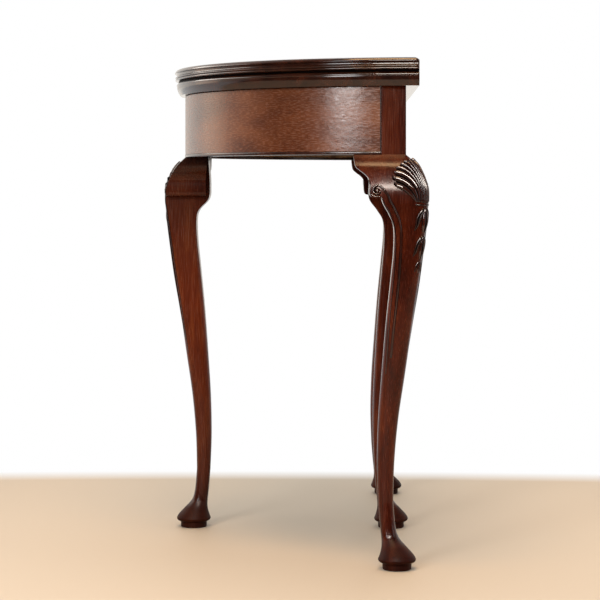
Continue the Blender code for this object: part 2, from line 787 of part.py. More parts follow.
def back_rails(finishes, gate_pivot):
    low_z, high_z = FRAME_BOTTOM, FRAME_TOP
    end_x = STILE_INNER_X - SEAT_GAP
    inner = bmesh.new()
    add_box(inner, (-end_x, INNER_RAIL_FRONT_Y, low_z), (end_x, INNER_RAIL_BACK_Y, high_z))
    inner_rail = finish_mesh("inner_back_rail", inner, finishes["oak"])
    for side in (1, -1):
        tenon = bmesh.new()
        add_box(tenon, *rail_tenon(side, 0.0))
        join(inner_rail, tenon)
    fixed = bmesh.new()
    outline = knuckle_outline(-1, -end_x, KNUCKLE_CLEARANCE)
    add_prism(fixed, outline, low_z, high_z)
    knuckle_rail = finish_mesh("fixed_knuckle_rail", fixed, finishes["oak"])
    cut(knuckle_rail, knuckle_gaps(range(1, FINGER_COUNT, 2)))
    cut(knuckle_rail, pin_bore())
    swing = bmesh.new()
    outline = knuckle_outline(1, -MIDDLE_STILE / 2 - SEAT_GAP, KNUCKLE_CLEARANCE)
    add_prism(swing, outline, GATE_RAIL_BOTTOM, GATE_TOP)
    gate_rail = finish_mesh("gate_rail", swing, finishes["oak"], gate_pivot)
    tenon = bmesh.new()
    add_box(tenon, *gate_tenon(0.0))
    join(gate_rail, tenon)
    cut(gate_rail, knuckle_gaps(range(0, FINGER_COUNT, 2)))
    cut(gate_rail, pin_bore())
    outer = bmesh.new()
    start_x = MIDDLE_STILE / 2 + GATE_CLEARANCE
    outer_low = (start_x, FRAME_HALF_DEPTH - SWING_RAIL_THICKNESS, low_z)
    add_box(outer, outer_low, (end_x, FRAME_HALF_DEPTH, high_z))
    outer_rail = finish_mesh("fixed_outer_rail", outer, finishes["oak"])
    pin = bmesh.new()
    centre = (GATE_AXIS_X, GATE_AXIS_Y)
    add_rod(pin, (*centre, low_z), (*centre, high_z), GATE_PIN_RADIUS)
    finish_mesh("gate_hinge_pin", pin, finishes["iron"])
    carriers = {"left": knuckle_rail, "right": outer_rail}
    for name, (x, z) in rail_screw_places().items():
        head = (x, INNER_RAIL_FRONT_Y + SEAT_GAP, z)
        point = (x, INNER_RAIL_FRONT_Y + RAIL_SCREW_LENGTH, z)
        screw(name, head, point, finishes["iron"])
        for carrier in (inner_rail, carriers[name.split("_")[0]]):
            hole = bmesh.new()
            add_screw_hole(hole, head, point)
            cut(carrier, hole)


def medial_rail(finishes):
    start_y = -FRAME_HALF_DEPTH + MIDDLE_STILE
    shape = bmesh.new()
    half = RAIL_THICKNESS / 2
    low = (-half, start_y + SEAT_GAP, FRAME_TOP - MEDIAL_RAIL_HEIGHT)
    add_box(shape, low, (half, INNER_RAIL_FRONT_Y - SEAT_GAP, FRAME_TOP))
    finish_mesh("medial_rail", shape, finishes["oak"])


def block_places():
    """Middle and turn of each screw block, by name."""
    corner_drop = CORE_INNER_RADIUS - math.sqrt(CORE_INNER_RADIUS**2 - (BLOCK_LENGTH / 2) ** 2)
    radius = CORE_INNER_RADIUS - corner_drop - SEAT_GAP - BLOCK_WIDTH / 2
    places = {}
    for number, degrees in enumerate(FRONT_BLOCK_ANGLES):
        angle = math.radians(degrees)
        middle = (radius * math.sin(angle), ARC_CENTRE_Y - radius * math.cos(angle))
        places[f"frieze_block_{number + 1}"] = (middle, angle)
    for number, side in enumerate((-1, 1)):
        middle = (side * BACK_BLOCK_X, INNER_RAIL_FRONT_Y - SEAT_GAP - BLOCK_WIDTH / 2)
        places[f"rail_block_{number + 1}"] = (middle, 0.0)
    return places


def screw_blocks(lower_leaf, finishes):
    holes = bmesh.new()
    for name, ((x, y), angle) in block_places().items():
        shape = bmesh.new()
        size = Matrix.Diagonal((BLOCK_LENGTH, BLOCK_WIDTH, BLOCK_HEIGHT, 1.0))
        middle = Vector((x, y, FRAME_TOP - BLOCK_HEIGHT / 2))
        turn = Matrix.Rotation(angle, 4, "Z")
        bmesh.ops.create_cube(shape, size=1.0, matrix=Matrix.Translation(middle) @ turn @ size)
        block = finish_mesh(name, shape, finishes["pine"])
        head = (x, y, FRAME_TOP - BLOCK_HEIGHT + SEAT_GAP)
        point = (x, y, FRAME_TOP - BLOCK_HEIGHT + BLOCK_SCREW_LENGTH)
        hole = bmesh.new()
        add_screw_hole(hole, head, point)
        cut(block, hole)
        add_screw_hole(holes, head, point)
        screw(f"{name}_screw", head, point, finishes["iron"])
    cut(lower_leaf, holes)


def butt_plate(name, side, facing, finish, pivot=None):
    """One leaf of a brass butt: facing is +1 for the upper one, which has the middle knuckle."""
    middle_x = side * BUTT_X
    half, sixth = BUTT_LENGTH / 2, BUTT_LENGTH / 6
    run = KNUCKLE_CLEARANCE / 2
    clear = BUTT_KNUCKLE_RADIUS + KNUCKLE_CLEARANCE
    plate_back = LEAF_BACK_Y
    plate_front = LEAF_BACK_Y - BUTT_PLATE_THICKNESS
    near_z = HINGE_Z + facing * clear
    far_z = near_z + facing * BUTT_PLATE_HEIGHT
    low_z, high_z = sorted((near_z, far_z))
    shape = bmesh.new()
    add_box(shape, (middle_x - half, plate_front, low_z), (middle_x + half, plate_back, high_z))
    plate = finish_mesh(name, shape, finish, pivot)
    if facing > 0:
        spans = [(run - sixth, sixth - run)]
    else:
        spans = [(-half, -sixth - run), (sixth + run, half)]
    tab_low, tab_high = sorted((HINGE_Z, near_z + facing * KNUCKLE_CLEARANCE))
    for start, end in spans:
        start_x, end_x = middle_x + start, middle_x + end
        tab = bmesh.new()
        add_box(tab, (start_x, plate_front, tab_low), (end_x, plate_back, tab_high))
        join(plate, tab)
        barrel = bmesh.new()
        ends = (start_x, HINGE_Y, HINGE_Z), (end_x, HINGE_Y, HINGE_Z)
        add_rod(barrel, *ends, BUTT_KNUCKLE_RADIUS)
        join(plate, barrel)
    bore = bmesh.new()
    reach = half + CUT_OVERRUN
    ends = (middle_x - reach, HINGE_Y, HINGE_Z), (middle_x + reach, HINGE_Y, HINGE_Z)
    add_rod(bore, *ends, BUTT_PIN_RADIUS + SEAT_GAP, segments=SCREW_SEGMENTS)
    cut(plate, bore)
    return plate


def butts(upper_leaf, lower_leaf, finishes, leaf_pivot):
    for side in (1, -1):
        name = SIDE_NAMES[side]
        middle_x = side * BUTT_X
        reach = BUTT_LENGTH / 2 + SEAT_GAP
        for facing, carrier, pivot in ((1, upper_leaf, leaf_pivot), (-1, lower_leaf, None)):
            level = "upper" if facing > 0 else "lower"
            plate = butt_plate(f"{name}_{level}_butt_plate", side, facing, finishes["brass"], pivot)
            clear = BUTT_KNUCKLE_RADIUS + KNUCKLE_CLEARANCE
            far_z = HINGE_Z + facing * (clear + BUTT_PLATE_HEIGHT + SEAT_GAP)
            low_z, high_z = sorted((HINGE_Z, far_z))
            recess = bmesh.new()
            low = (middle_x - reach, LEAF_BACK_Y - BUTT_PLATE_THICKNESS - SEAT_GAP, low_z)
            add_box(recess, low, (middle_x + reach, LEAF_BACK_Y + CUT_OVERRUN, high_z))
            cut(carrier, recess)
            channel = bmesh.new()
            ends = (middle_x - reach, HINGE_Y, HINGE_Z), (middle_x + reach, HINGE_Y, HINGE_Z)
            add_rod(channel, *ends, clear)
            cut(carrier, channel)
            for number in range(2):
                x = middle_x + (2 * number - 1) * BUTT_SCREW_SPACING / 2
                z = HINGE_Z + facing * (clear + BUTT_PLATE_HEIGHT / 2)
                head = (x, LEAF_BACK_Y - SEAT_GAP / 2, z)
                point = (x, LEAF_BACK_Y - BUTT_SCREW_LENGTH, z)
                screw_name = f"{name}_{level}_butt_screw_{number + 1}"
                screw(screw_name, head, point, finishes["brass"], pivot)
                for drilled in (plate, carrier):
                    hole = bmesh.new()
                    add_screw_hole(hole, head, point)
                    cut(drilled, hole)
        pin = bmesh.new()
        half = BUTT_LENGTH / 2
        ends = (middle_x - half, HINGE_Y, HINGE_Z), (middle_x + half, HINGE_Y, HINGE_Z)
        add_rod(pin, *ends, BUTT_PIN_RADIUS, segments=SCREW_SEGMENTS)
        finish_mesh(f"{name}_butt_pin", pin, finishes["brass"])


def leaves(finishes, leaf_pivot):
    upper_leaf = leaf(
        "upper_leaf",
        TABLE_HEIGHT,
        UPPER_LEAF_THICKNESS,
        UPPER_EDGE_SHARES,
        UPPER_MOULDING_DEPTH,
        BACK_LIP_DEPTH,
        finishes["mahogany"],
        leaf_pivot,
    )
    lower_leaf = leaf(
        "lower_leaf",
        LOWER_LEAF_TOP,
        LOWER_LEAF_THICKNESS,
        LOWER_EDGE_SHARES,
        LOWER_MOULDING_DEPTH,
        0.0,
        finishes["mahogany"],
    )
    recess = BAIZE_THICKNESS + SEAT_GAP
    upper_face = HINGE_Z + LEAF_GAP / 2
    cut(upper_leaf, baize_shape(upper_face - CUT_OVERRUN, upper_face + recess, SEAT_GAP))
    cut(lower_leaf, baize_shape(LOWER_LEAF_TOP - recess, LOWER_LEAF_TOP + CUT_OVERRUN, SEAT_GAP))
    upper = baize_shape(upper_face, upper_face + BAIZE_THICKNESS, 0.0)
    finish_mesh("upper_baize", upper, finishes["baize"], leaf_pivot)
    lower = baize_shape(LOWER_LEAF_TOP - BAIZE_THICKNESS, LOWER_LEAF_TOP, 0.0)
    finish_mesh("lower_baize", lower, finishes["baize"])
    return upper_leaf, lower_leaf


def legs(finishes, gate_pivot):
    for side in (1, -1):
        corner_leg(side, finishes["leg"])
    tongue_start = FRAME_HALF_DEPTH + ARC_CENTRE_Y
    tongue_start -= math.sqrt(CORE_INNER_RADIUS**2 - (MIDDLE_STILE / 2) ** 2) - SEAT_GAP
    front_tongue = (tongue_start, MIDDLE_STILE - SHOULDER_INSET)
    shoulder_z = FRAME_BOTTOM - SEAT_GAP
    middle_leg(
        "front_leg",
        -1,
        MIDDLE_STILE,
        FRONT_GROWTH_SHARES,
        front_tongue,
        shoulder_z,
        FRAME_TOP,
        finishes["leg"],
    )
    gate_tongue = (SHOULDER_INSET, SWING_RAIL_THICKNESS)
    shoulder_z = FRAME_BOTTOM - 2 * GATE_CLEARANCE
    gate_leg = middle_leg(
        "gate_leg",
        1,
        GATE_LEG_DEPTH,
        [row[2] for row in SWAY_SHARES],
        gate_tongue,
        shoulder_z,
        GATE_TOP,
        finishes["leg"],
        gate_pivot,
    )
    mortise = bmesh.new()
    add_box(mortise, *gate_tenon(SEAT_GAP))
    cut(gate_leg, mortise)


def main():
    start_scene()
    finishes = {
        "mahogany": material("dark_mahogany_top", (0.055, 0.016, 0.009), 0.22),
        "leg": material("red_brown_mahogany_leg", (0.085, 0.024, 0.012), 0.25),
        "veneer": material("orange_brown_veneer", (0.26, 0.09, 0.04), 0.28),
        "oak": material("oak_rail", (0.35, 0.22, 0.12), 0.6),
        "pine": material("pine_block", (0.50, 0.34, 0.19), 0.65),
        "baize": material("green_baize", (0.02, 0.11, 0.05), 0.95),
        "brass": material("aged_brass", (0.55, 0.38, 0.14), 0.35, 1.0),
        "iron": material("dark_iron", (0.12, 0.11, 0.10), 0.5, 1.0),
    }
    leaf_pivot = pivot_at("leaf_pivot", (0.0, HINGE_Y, HINGE_Z))
    gate_pivot = pivot_at("gate_pivot", (GATE_AXIS_X, GATE_AXIS_Y, 0.0))
    upper_leaf, lower_leaf = leaves(finishes, leaf_pivot)
    frieze(finishes)
    legs(finishes, gate_pivot)
    fixed_brackets(finishes["leg"])
    gate_brackets(finishes["leg"], gate_pivot)
    back_rails(finishes, gate_pivot)
    medial_rail(finishes)
    screw_blocks(lower_leaf, finishes)
    butts(upper_leaf, lower_leaf, finishes, leaf_pivot)


main()
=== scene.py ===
"""Dresses the demi-lune card table: moulded leaves, carved cabriole legs, veneer, baize and brass."""

import bisect
import json
import math

import bmesh
import bpy
from mathutils import Matrix, Vector


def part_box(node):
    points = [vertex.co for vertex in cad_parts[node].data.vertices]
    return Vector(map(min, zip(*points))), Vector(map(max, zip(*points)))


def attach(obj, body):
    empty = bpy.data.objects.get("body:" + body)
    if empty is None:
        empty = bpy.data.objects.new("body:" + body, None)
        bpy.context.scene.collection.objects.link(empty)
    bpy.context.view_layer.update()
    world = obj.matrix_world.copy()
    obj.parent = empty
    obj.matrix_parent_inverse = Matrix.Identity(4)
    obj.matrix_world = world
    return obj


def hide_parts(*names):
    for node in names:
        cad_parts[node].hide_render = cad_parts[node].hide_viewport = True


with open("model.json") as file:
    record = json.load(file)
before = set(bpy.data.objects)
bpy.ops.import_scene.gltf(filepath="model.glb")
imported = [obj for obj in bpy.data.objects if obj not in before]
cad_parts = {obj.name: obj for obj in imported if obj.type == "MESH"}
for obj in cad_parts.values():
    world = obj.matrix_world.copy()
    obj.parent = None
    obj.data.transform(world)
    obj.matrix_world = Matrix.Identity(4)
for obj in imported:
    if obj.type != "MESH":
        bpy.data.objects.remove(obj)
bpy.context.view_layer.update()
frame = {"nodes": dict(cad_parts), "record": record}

# Places and slots read from the frame
leg_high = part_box("right_corner_leg")[1]
gate_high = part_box("gate_leg")[1]
lower_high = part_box("lower_leaf")[1]
upper_low, upper_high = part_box("upper_leaf")
core_low, core_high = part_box("frieze_core")
veneer_low, veneer_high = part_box("frieze_veneer")
bead_low, bead_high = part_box("frieze_bead")
material_slots = {part["node"]: part["material_slot"] for part in frame["record"]["subparts"]}

# Sizes that the pieces share with the solids they stand for, and how their edges are eased
# Legs and feet
KNEE_REACH = 0.0319
CORNER_STILE = 0.036
MIDDLE_STILE = 0.041
GATE_LEG_DEPTH = 0.050
GATE_STILE_OVERLAP = 0.002
STILE_EASE = 0.0001
ARRIS_RADIUS = 0.001
ANKLE_HEIGHT = 0.0965
ANKLE_SIZE = 0.0225
ANKLE_SET_BACK = 0.0293
FOOT_DIAMETER = 0.0557
FOOT_SET_BACK = 0.013
FOOT_HEIGHT = 0.0154
FOOT_SOLE_ROUND = 0.0052
PAD_DIAMETER = 0.0425
PAD_HEIGHT = 0.009
# Ear brackets
BRACKET_LENGTH = 0.0404
BRACKET_DROP = 0.067
BRACKET_DEPTH = 0.0340
BRACKET_EASE = 0.0005
BRACKET_EASE_TURN = 0.3
# Leaves and baize
PLAN_CORNER_RADIUS = 0.005
PLAN_CORNER_LEAST = 0.0008
LEAF_BACK_EASE = 0.003
BAIZE_BORDER = 0.038
BAIZE_FOLD_BORDER = 0.012
BAIZE_EASE = 0.0003
# Frieze and rails
CORE_INNER_DEPTH = 0.0233
CORE_OUTER_DEPTH = 0.0013
VENEER_THICKNESS = 0.001
VENEER_ARRIS = 0.0009
BEAD_BULGE = 0.0008
END_BEAD_RADIUS = 0.0009
TENON_HALF = 0.005
TENON_HALF_HEIGHT = 0.035
FRIEZE_TENON_LENGTH = 0.018
RAIL_EASE = 0.0003
BLOCK_EASE = 0.0006
# Gate and its knuckle joint, whose barrel ends at an angle in degrees
SWING_RAIL_THICKNESS = 0.0216
SWING_HALF = SWING_RAIL_THICKNESS / 2
GATE_AXIS_X = -0.200
GATE_TENON_HALF = 0.004
GATE_TENON_LENGTH = 0.028
GATE_PIN_RADIUS = 0.0025
FINGER_COUNT = 5
FINGER_HEIGHT = 0.020
FINGER_GAP = 0.0006
KNUCKLE_ARC_END = 138.0
KNUCKLE_CLEARANCE = 0.0005
# Butts and screws, whose slots turn by an angle in radians from one to the next
BUTT_X = 0.270
BUTT_LENGTH = 0.050
BUTT_PLATE_HEIGHT = 0.0122
BUTT_PLATE_THICKNESS = 0.0013
BUTT_PLATE_EASE = 0.00015
BUTT_KNUCKLE_RADIUS = 0.003
BUTT_CLEAR_RADIUS = BUTT_KNUCKLE_RADIUS + KNUCKLE_CLEARANCE
BUTT_PIN_RADIUS = 0.0011
BUTT_SCREW_SPACING = 0.030
COUNTERSINK_DEPTH = 0.002
SCREW_RADIUS = 0.0018
SCREW_HEAD_RADIUS = 0.0036
SCREW_HEAD_HEIGHT = 0.0022
SCREW_EASE = 0.0003
SCREW_SLOT_WIDTH = 0.0009
SCREW_SLOT_DEPTH = 0.0010
SLOT_TURN = 2.4
# Gaps, overruns of cuts, and angles in degrees past which an edge is sharp or gets eased
SEAT_GAP = 0.0003
OVERRUN = 0.001
HAIR = 0.00005
MERGE = 0.000002
SURFACE_STEP = 0.0005
SHARP_ANGLE = 35.0
CARVED_SHARP_ANGLE = 60.0
EASED_ANGLE = 40.0

# Places worked out from the frame
FRAME_TOP = veneer_high.z
FRAME_BOTTOM = bead_low.z
FRIEZE_MIDDLE_Z = (FRAME_TOP + FRAME_BOTTOM) / 2
FRIEZE_RADIUS = 0.3705
CORE_INNER_RADIUS = FRIEZE_RADIUS - CORE_INNER_DEPTH
CORE_OUTER_RADIUS = FRIEZE_RADIUS - CORE_OUTER_DEPTH
CORNER_FACE_X = leg_high.x - KNEE_REACH
FRAME_HALF_DEPTH = leg_high.y - KNEE_REACH
ARC_CENTRE_Y = FRIEZE_RADIUS - FRAME_HALF_DEPTH
STILE_FRONT_Y = FRAME_HALF_DEPTH - CORNER_STILE
STILE_INNER_X = CORNER_FACE_X - CORNER_STILE
FRIEZE_END_ANGLE = math.acos((ARC_CENTRE_Y - STILE_FRONT_Y + SEAT_GAP) / FRIEZE_RADIUS)
TOP_RADIUS = upper_high.x
LEAF_BACK_Y = upper_high.y
GATE_AXIS_Y = FRAME_HALF_DEPTH - SWING_HALF
HINGE_Z = (upper_low.z + lower_high.z) / 2
HINGE_Y = LEAF_BACK_Y + (upper_low.z - lower_high.z) / 2

# Template of a cabriole leg: share of the height from ankle to frieze, share of the way out from
# the ankle's face to the knee's, share of the growth from the ankle's thickness to the knee's
SWAY_SHARES = (
    (1.000, 0.361, 0.297), (0.966, 0.700, 0.670), (0.911, 0.950, 0.945), (0.868, 1.000, 0.985),
    (0.831, 0.962, 0.735), (0.795, 0.935, 0.550), (0.726, 0.848, 0.450), (0.641, 0.735, 0.418),
    (0.511, 0.541, 0.357), (0.370, 0.342, 0.268), (0.239, 0.148, 0.160), (0.112, 0.032, 0.072),
    (0.000, 0.000, 0.000),
)
FRONT_GROWTH_SHARES = (
    0.297, 0.670, 0.945, 0.950, 0.590, 0.490, 0.435, 0.418, 0.357, 0.268, 0.160, 0.072, 0.000,
)
SWAY_STEPS = 8
CORNER_ROUND_SHARES = ((0.42, 0.35), (0.03, 0.30))
MIDDLE_ROUND_SHARES = ((0.22, 0.35), (0.06, 0.30))
ROUND_START_SHARE = 0.87
ROUND_FULL_SHARE = 0.97
SQUARE_TOP_SHARE = 0.98
WIDTH_GROWTH_POWER = 1.5
FLANK_TURN_SHARE = 0.3
# Pad foot: share of the height from its widest place to the ankle, share of the way out to its
# centre, share of its growth
FOOT_SHARES = (
    (1.00, 0.00, 0.00), (0.63, 0.15, 0.00), (0.43, 0.30, 0.05), (0.32, 0.48, 0.18),
    (0.20, 0.75, 0.45), (0.075, 0.97, 0.82), (0.00, 1.00, 1.00),
)
FOOT_STEPS = 5
SOLE_STEPS = 6
# Ear bracket's lower outline: share of its length out from the stile, share of its drop
BRACKET_SHARES = (
    (0.00, 0.94), (0.22, 0.94), (0.38, 0.915), (0.435, 0.84), (0.452, 0.70), (0.466, 0.53),
    (0.614, 0.42), (0.80, 0.335), (0.945, 0.24), (1.00, 0.045),
)
BRACKET_BOTTOM = FRAME_BOTTOM - BRACKET_DROP * BRACKET_SHARES[0][1]
CRISP_LENGTH = 0.045
BRACKET_STEPS = 5
BRACKET_ROWS = 40
ARC_STEPS = 12
KNUCKLE_STEPS = 40
CORE_SEGMENTS = 120
FRIEZE_SEGMENTS = 160
NOSE_STEPS = 8

# Moulded edges, from the top down: inset from the widest place and drop below the leaf's face
UPPER_EDGE = (
    (0.0070, 0.0000), (0.0037, 0.0000), (0.0031, 0.0003), (0.0024, 0.0010), (0.0016, 0.0019),
    (0.0009, 0.0028), (0.0004, 0.0036), (0.0001, 0.0043), (0.0000, 0.0049), (0.0001, 0.0052),
    (0.0006, 0.0054), (0.0027, 0.0056), (0.0034, 0.0062), (0.0037, 0.0076), (0.0036, 0.0092),
    (0.0030, 0.0102), (0.0019, 0.0106), (0.0012, 0.0110), (0.0008, 0.0116), (0.0007, 0.0121),
    (0.0009, 0.0127), (0.0013, 0.0132), (0.0020, 0.0135), (0.0025, 0.0138), (0.0018, 0.0141),
    (0.0013, 0.0145), (0.0010, 0.0151), (0.0009, 0.0157), (0.0010, 0.0163), (0.0015, 0.0168),
    (0.0030, 0.0172), (0.0056, 0.0176), (0.0068, 0.0184), (0.0071, 0.0198), (0.0100, 0.0198),
)
LOWER_EDGE = (
    (0.0100, 0.0000), (0.0070, 0.0000), (0.0060, 0.0003), (0.0050, 0.0010), (0.0041, 0.0019),
    (0.0035, 0.0027), (0.0031, 0.0035), (0.0029, 0.0043), (0.0030, 0.0050), (0.0034, 0.0054),
    (0.0037, 0.0057), (0.0036, 0.0066), (0.0037, 0.0085), (0.0041, 0.0106), (0.0048, 0.0128),
    (0.0058, 0.0150), (0.0069, 0.0172), (0.0079, 0.0190), (0.0086, 0.0202), (0.0089, 0.0208),
    (0.0120, 0.0208),
)
BACK_LIP = ((0.0060, 0.0000), (0.0033, 0.0011), (0.0009, 0.0026), (0.0000, 0.0040))
LEAF_ARC_STEPS = 96
PLAN_CORNER_STEPS = 6
LEAF_POINTS = 2 * (LEAF_ARC_STEPS + PLAN_CORNER_STEPS) + 1
# Painted shade in the hollow between the leaves: how far in it starts and ends, and half its height
JOINT_SHADE_INSETS = (0.0058, 0.0085)
JOINT_SHADE_HALF = 0.0030

# Carved knee, as distance round it from its ridge and drop under the frieze: the shell's outline
# from its crown to its lowest rib, and the lines of the scrolls, which count from the leg's edge
SHELL_OUTLINE = (
    (0.0000, 0.0075), (0.0100, 0.0095), (0.0215, 0.0145), (0.0348, 0.0222), (0.0415, 0.0348),
    (0.0426, 0.0490),
)
SHELL_OUTLINE_STEPS = 6
# Shell: its neck and relief, its ribs as shares of the fan and of their own length, its curled
# tips and the collar round its neck
SHELL_NECK_HALF = 0.0155
SHELL_NECK_DROP = 0.0725
SHELL_NECK_BOW = 0.003
SHELL_RELIEF = 0.0036
SHELL_SCALLOP = 0.05
SHELL_RIBS = 15
RIB_STEPS = 10
RIB_ROWS = 44
RIB_POWER = 0.9
OUTER_RIBS_START = 0.65
OUTER_RIB_BEND = 0.65
INNER_RIB_BEND = 0.1
OUTER_RIB_DROOP = 0.15
NECK_RELIEF = 0.30
FULL_RELIEF_START = 0.7
VALLEY_RELIEF = 0.04
RIM_START = 0.92
CURLED_TIPS = ((0.0410, 0.0440), (0.0404, 0.0348))
CURLED_TIP_RADIUS = 0.0030
CURLED_TIP_HEIGHT = 0.0042
COLLAR_DROP = 0.0745
COLLAR_BOW = 0.0012
COLLAR_HALF_WIDTH = 0.0016
COLLAR_HEIGHT = 0.0010
SCROLL_EYE = (-0.0065, 0.0527)
SCROLL_EYE_RADIUS = 0.0033
SCROLL_EYE_HEIGHT = 0.0028
SCROLL_TURN = (
    (360, 0.0040), (315, 0.0044), (270, 0.0048), (225, 0.0053), (180, 0.0059), (135, 0.0066),
    (90, 0.0074),
)
SCROLL_TAIL = (
    (-0.0028, 0.0463), (0.0016, 0.0496), (0.0062, 0.0553), (0.0098, 0.0610), (0.0114, 0.0675),
    (0.0116, 0.0820), (0.0100, 0.0966), (0.0088, 0.1260), (0.0090, 0.1830), (0.0086, 0.2270),
    (0.0078, 0.2700), (0.0070, 0.3000),
)
EDGE_BEAD = (
    (-0.0178, 0.0370), (-0.0172, 0.0470), (-0.0162, 0.0553), (-0.0136, 0.0595), (-0.0085, 0.0612),
    (-0.0030, 0.0614), (0.0006, 0.0650), (0.0012, 0.0725), (0.0008, 0.0900), (0.0007, 0.1300),
    (0.0007, 0.2300), (0.0007, 0.3300),
)
# Half width and height of the scroll's line and of the edge's
SCROLL_LINE = (0.0023, 0.0020)
EDGE_LINE = (0.0014, 0.0012)
# Husks: drop of the top, length, and size beside the first one's
HUSKS = ((0.0775, 0.0400, 1.0), (0.1185, 0.0360, 0.80), (0.1550, 0.0200, 0.45))
HUSK_HALF_WIDTH = 0.0135
PETAL_HALF_WIDTH = 0.0042
PETAL_RELIEF = 0.0030
# Along a petal: shares of the husk's half width and length, of the petal's half width and relief
SIDE_PETAL_SHARES = (
    (0.10, 0.00, 0.35, 0.6), (0.42, 0.16, 0.95, 1.0), (0.72, 0.40, 1.05, 1.0),
    (0.86, 0.64, 0.75, 0.8), (1.05, 0.84, 0.18, 0.4),
)
MIDDLE_PETAL_SHARES = (
    (0.00, 0.04, 0.40, 1.1), (0.00, 0.25, 1.00, 1.3), (0.00, 0.55, 1.15, 1.4),
    (0.00, 0.80, 0.80, 1.1), (0.00, 1.00, 0.15, 0.6),
)
# Across a petal, as shares of its half width
MIDRIB_WIDTH = 0.25
ROLL_PLACE = 0.70
ROLL_WIDTH = 0.16
PETAL_SHADE = 0.42
PETAL_RIM = 0.9
# How much narrower the shell and the scrolls are on the legs at the middle of a side
MIDDLE_CARVING_SHARE = 0.46
MIDDLE_BAND_SHARE = 0.62
# Rims of carved patches, round bosses, and beads, as shares of their radius, half width or run
SUNK = 0.0004
BOSS_SEGMENTS = 24
BOSS_RINGS = 8
BOSS_RING = 1.4
BOSS_POINT = 0.001
BOSS_SHADE_START = 0.45
BEAD_CORE = 0.62
BEAD_FLOOR = 0.03
BEAD_FADE_IN = 0.02
BEAD_FADE_OUT = 0.15
BEAD_END_SHADE = 0.4

# Wood: how much of the fibre is mixed into the figure, where its tones and pores lie between 0
# and 1, how dark the painted shade in its hollows is, how rough and dull its hollows and its dusty
# feet are, and the scales of its polish
FIBRE_SHARE = 0.4
FIGURE_STOPS = (0.36, 0.5, 0.64)
PORE_STOPS = (0.30, 0.44)
HOLLOW_SHADE_TONE = 0.10
HOLLOW_ROUGHNESS = 0.6
HOLLOW_GLOSS = 0.03
DULL_ROUGHNESS = 0.3
WAVE_SCALES = (90.0, 130.0)
BUMP_DEPTH = 0.0004

# Camera, turned by an angle in degrees, with its lens and sensor in millimetres
CAMERA_PLACE = (3.24, 0.082, 0.567)
CAMERA_YAW = 1.2257
CAMERA_LENS = 117.8
CAMERA_SENSOR = 36.0
CAMERA_SHIFT = -0.195

# Room, floor and lamps
WHITE = (1.0, 1.0, 1.0, 1.0)
ROOM_STRENGTH = 0.30
MIRRORED_STRENGTH = 1.5
# How bright the mirrored room is from its far side to its near side
MIRRORED_LEVELS = ((0.0, 1.0), (0.12, 1.5), (0.27, 1.5), (0.40, 0.8), (0.62, 0.05))
FLOOR_HALF_SIZE = 6.0
FLOOR_COLOUR = (0.58, 0.485, 0.37, 1.0)
FLOOR_OFFSET = (-0.43, 0.0, 0.0)
FLOOR_SPREAD = (1.075, 0.40, 1.0)
FLOOR_FADE = (0.98, 1.1)
# Places along X, and how bright the polish mirrors the floor there
FLOOR_MIRRORED = (-0.3, 0.3, 1.0, 0.05)
COLD_WHITE = (1.0, 1.0, 1.0)
WARM_WHITE = (1.0, 0.945, 0.87)
KNEE = (0.38, 0.1, 0.56)
# The window that the polish mirrors hangs a little in front of the one that lights the wood
GLEAM_PLACE = (2.51, 0.0, 1.77)
GLEAM_NEARER = 0.05
GLEAM = [far + (near - far) * GLEAM_NEARER for far, near in zip(GLEAM_PLACE, KNEE)]
# Name, place, aim, width and height, power, colour, and whether wood, polish or both show it
LAMPS = (
    ("overhead", (-0.5, 0.0, 2.6), (0.0, 0.0, 0.5), (1.3, 1.6), 24.0, COLD_WHITE, "both"),
    ("above", (0.92, 0.0, 2.75), (0.38, 0.1, 0.6), (1.2, 0.52), 38.0, (1.0, 0.64, 0.33), "both"),
    ("window", (2.51, 0.0, 1.85), KNEE, (1.2, 0.72), 24.0, (1.0, 0.93, 0.88), "wood"),
    ("window_gleam", GLEAM, KNEE, (1.2, 0.56), 100.0, (1.0, 0.90, 0.80), "polish"),
    ("front_side", (2.50, -1.35, 1.34), (0.33, 0.0, 0.68), (0.68, 1.15), 36.0, COLD_WHITE, "both"),
    ("front_gleam", (-0.9, -2.5, 1.9), (0.0, 0.0, 0.6), (2.6, 0.7), 34.0, WARM_WHITE, "polish"),
    ("side_gleam", (-1.1, -2.5, 1.1), (0.0, -0.3, 0.65), (1.1, 1.3), 5.0, (1.0, 0.6, 0.36), "polish"),
    ("low_front", (0.9, -2.6, 0.30), (0.35, 0.0, 0.35), (0.5, 0.6), 8.0, (1.0, 0.88, 0.76), "wood"),
    ("back_side", (0.9, 2.1, 1.0), (0.0, 0.0, 0.5), (0.8, 1.4), 8.0, COLD_WHITE, "both"),
)


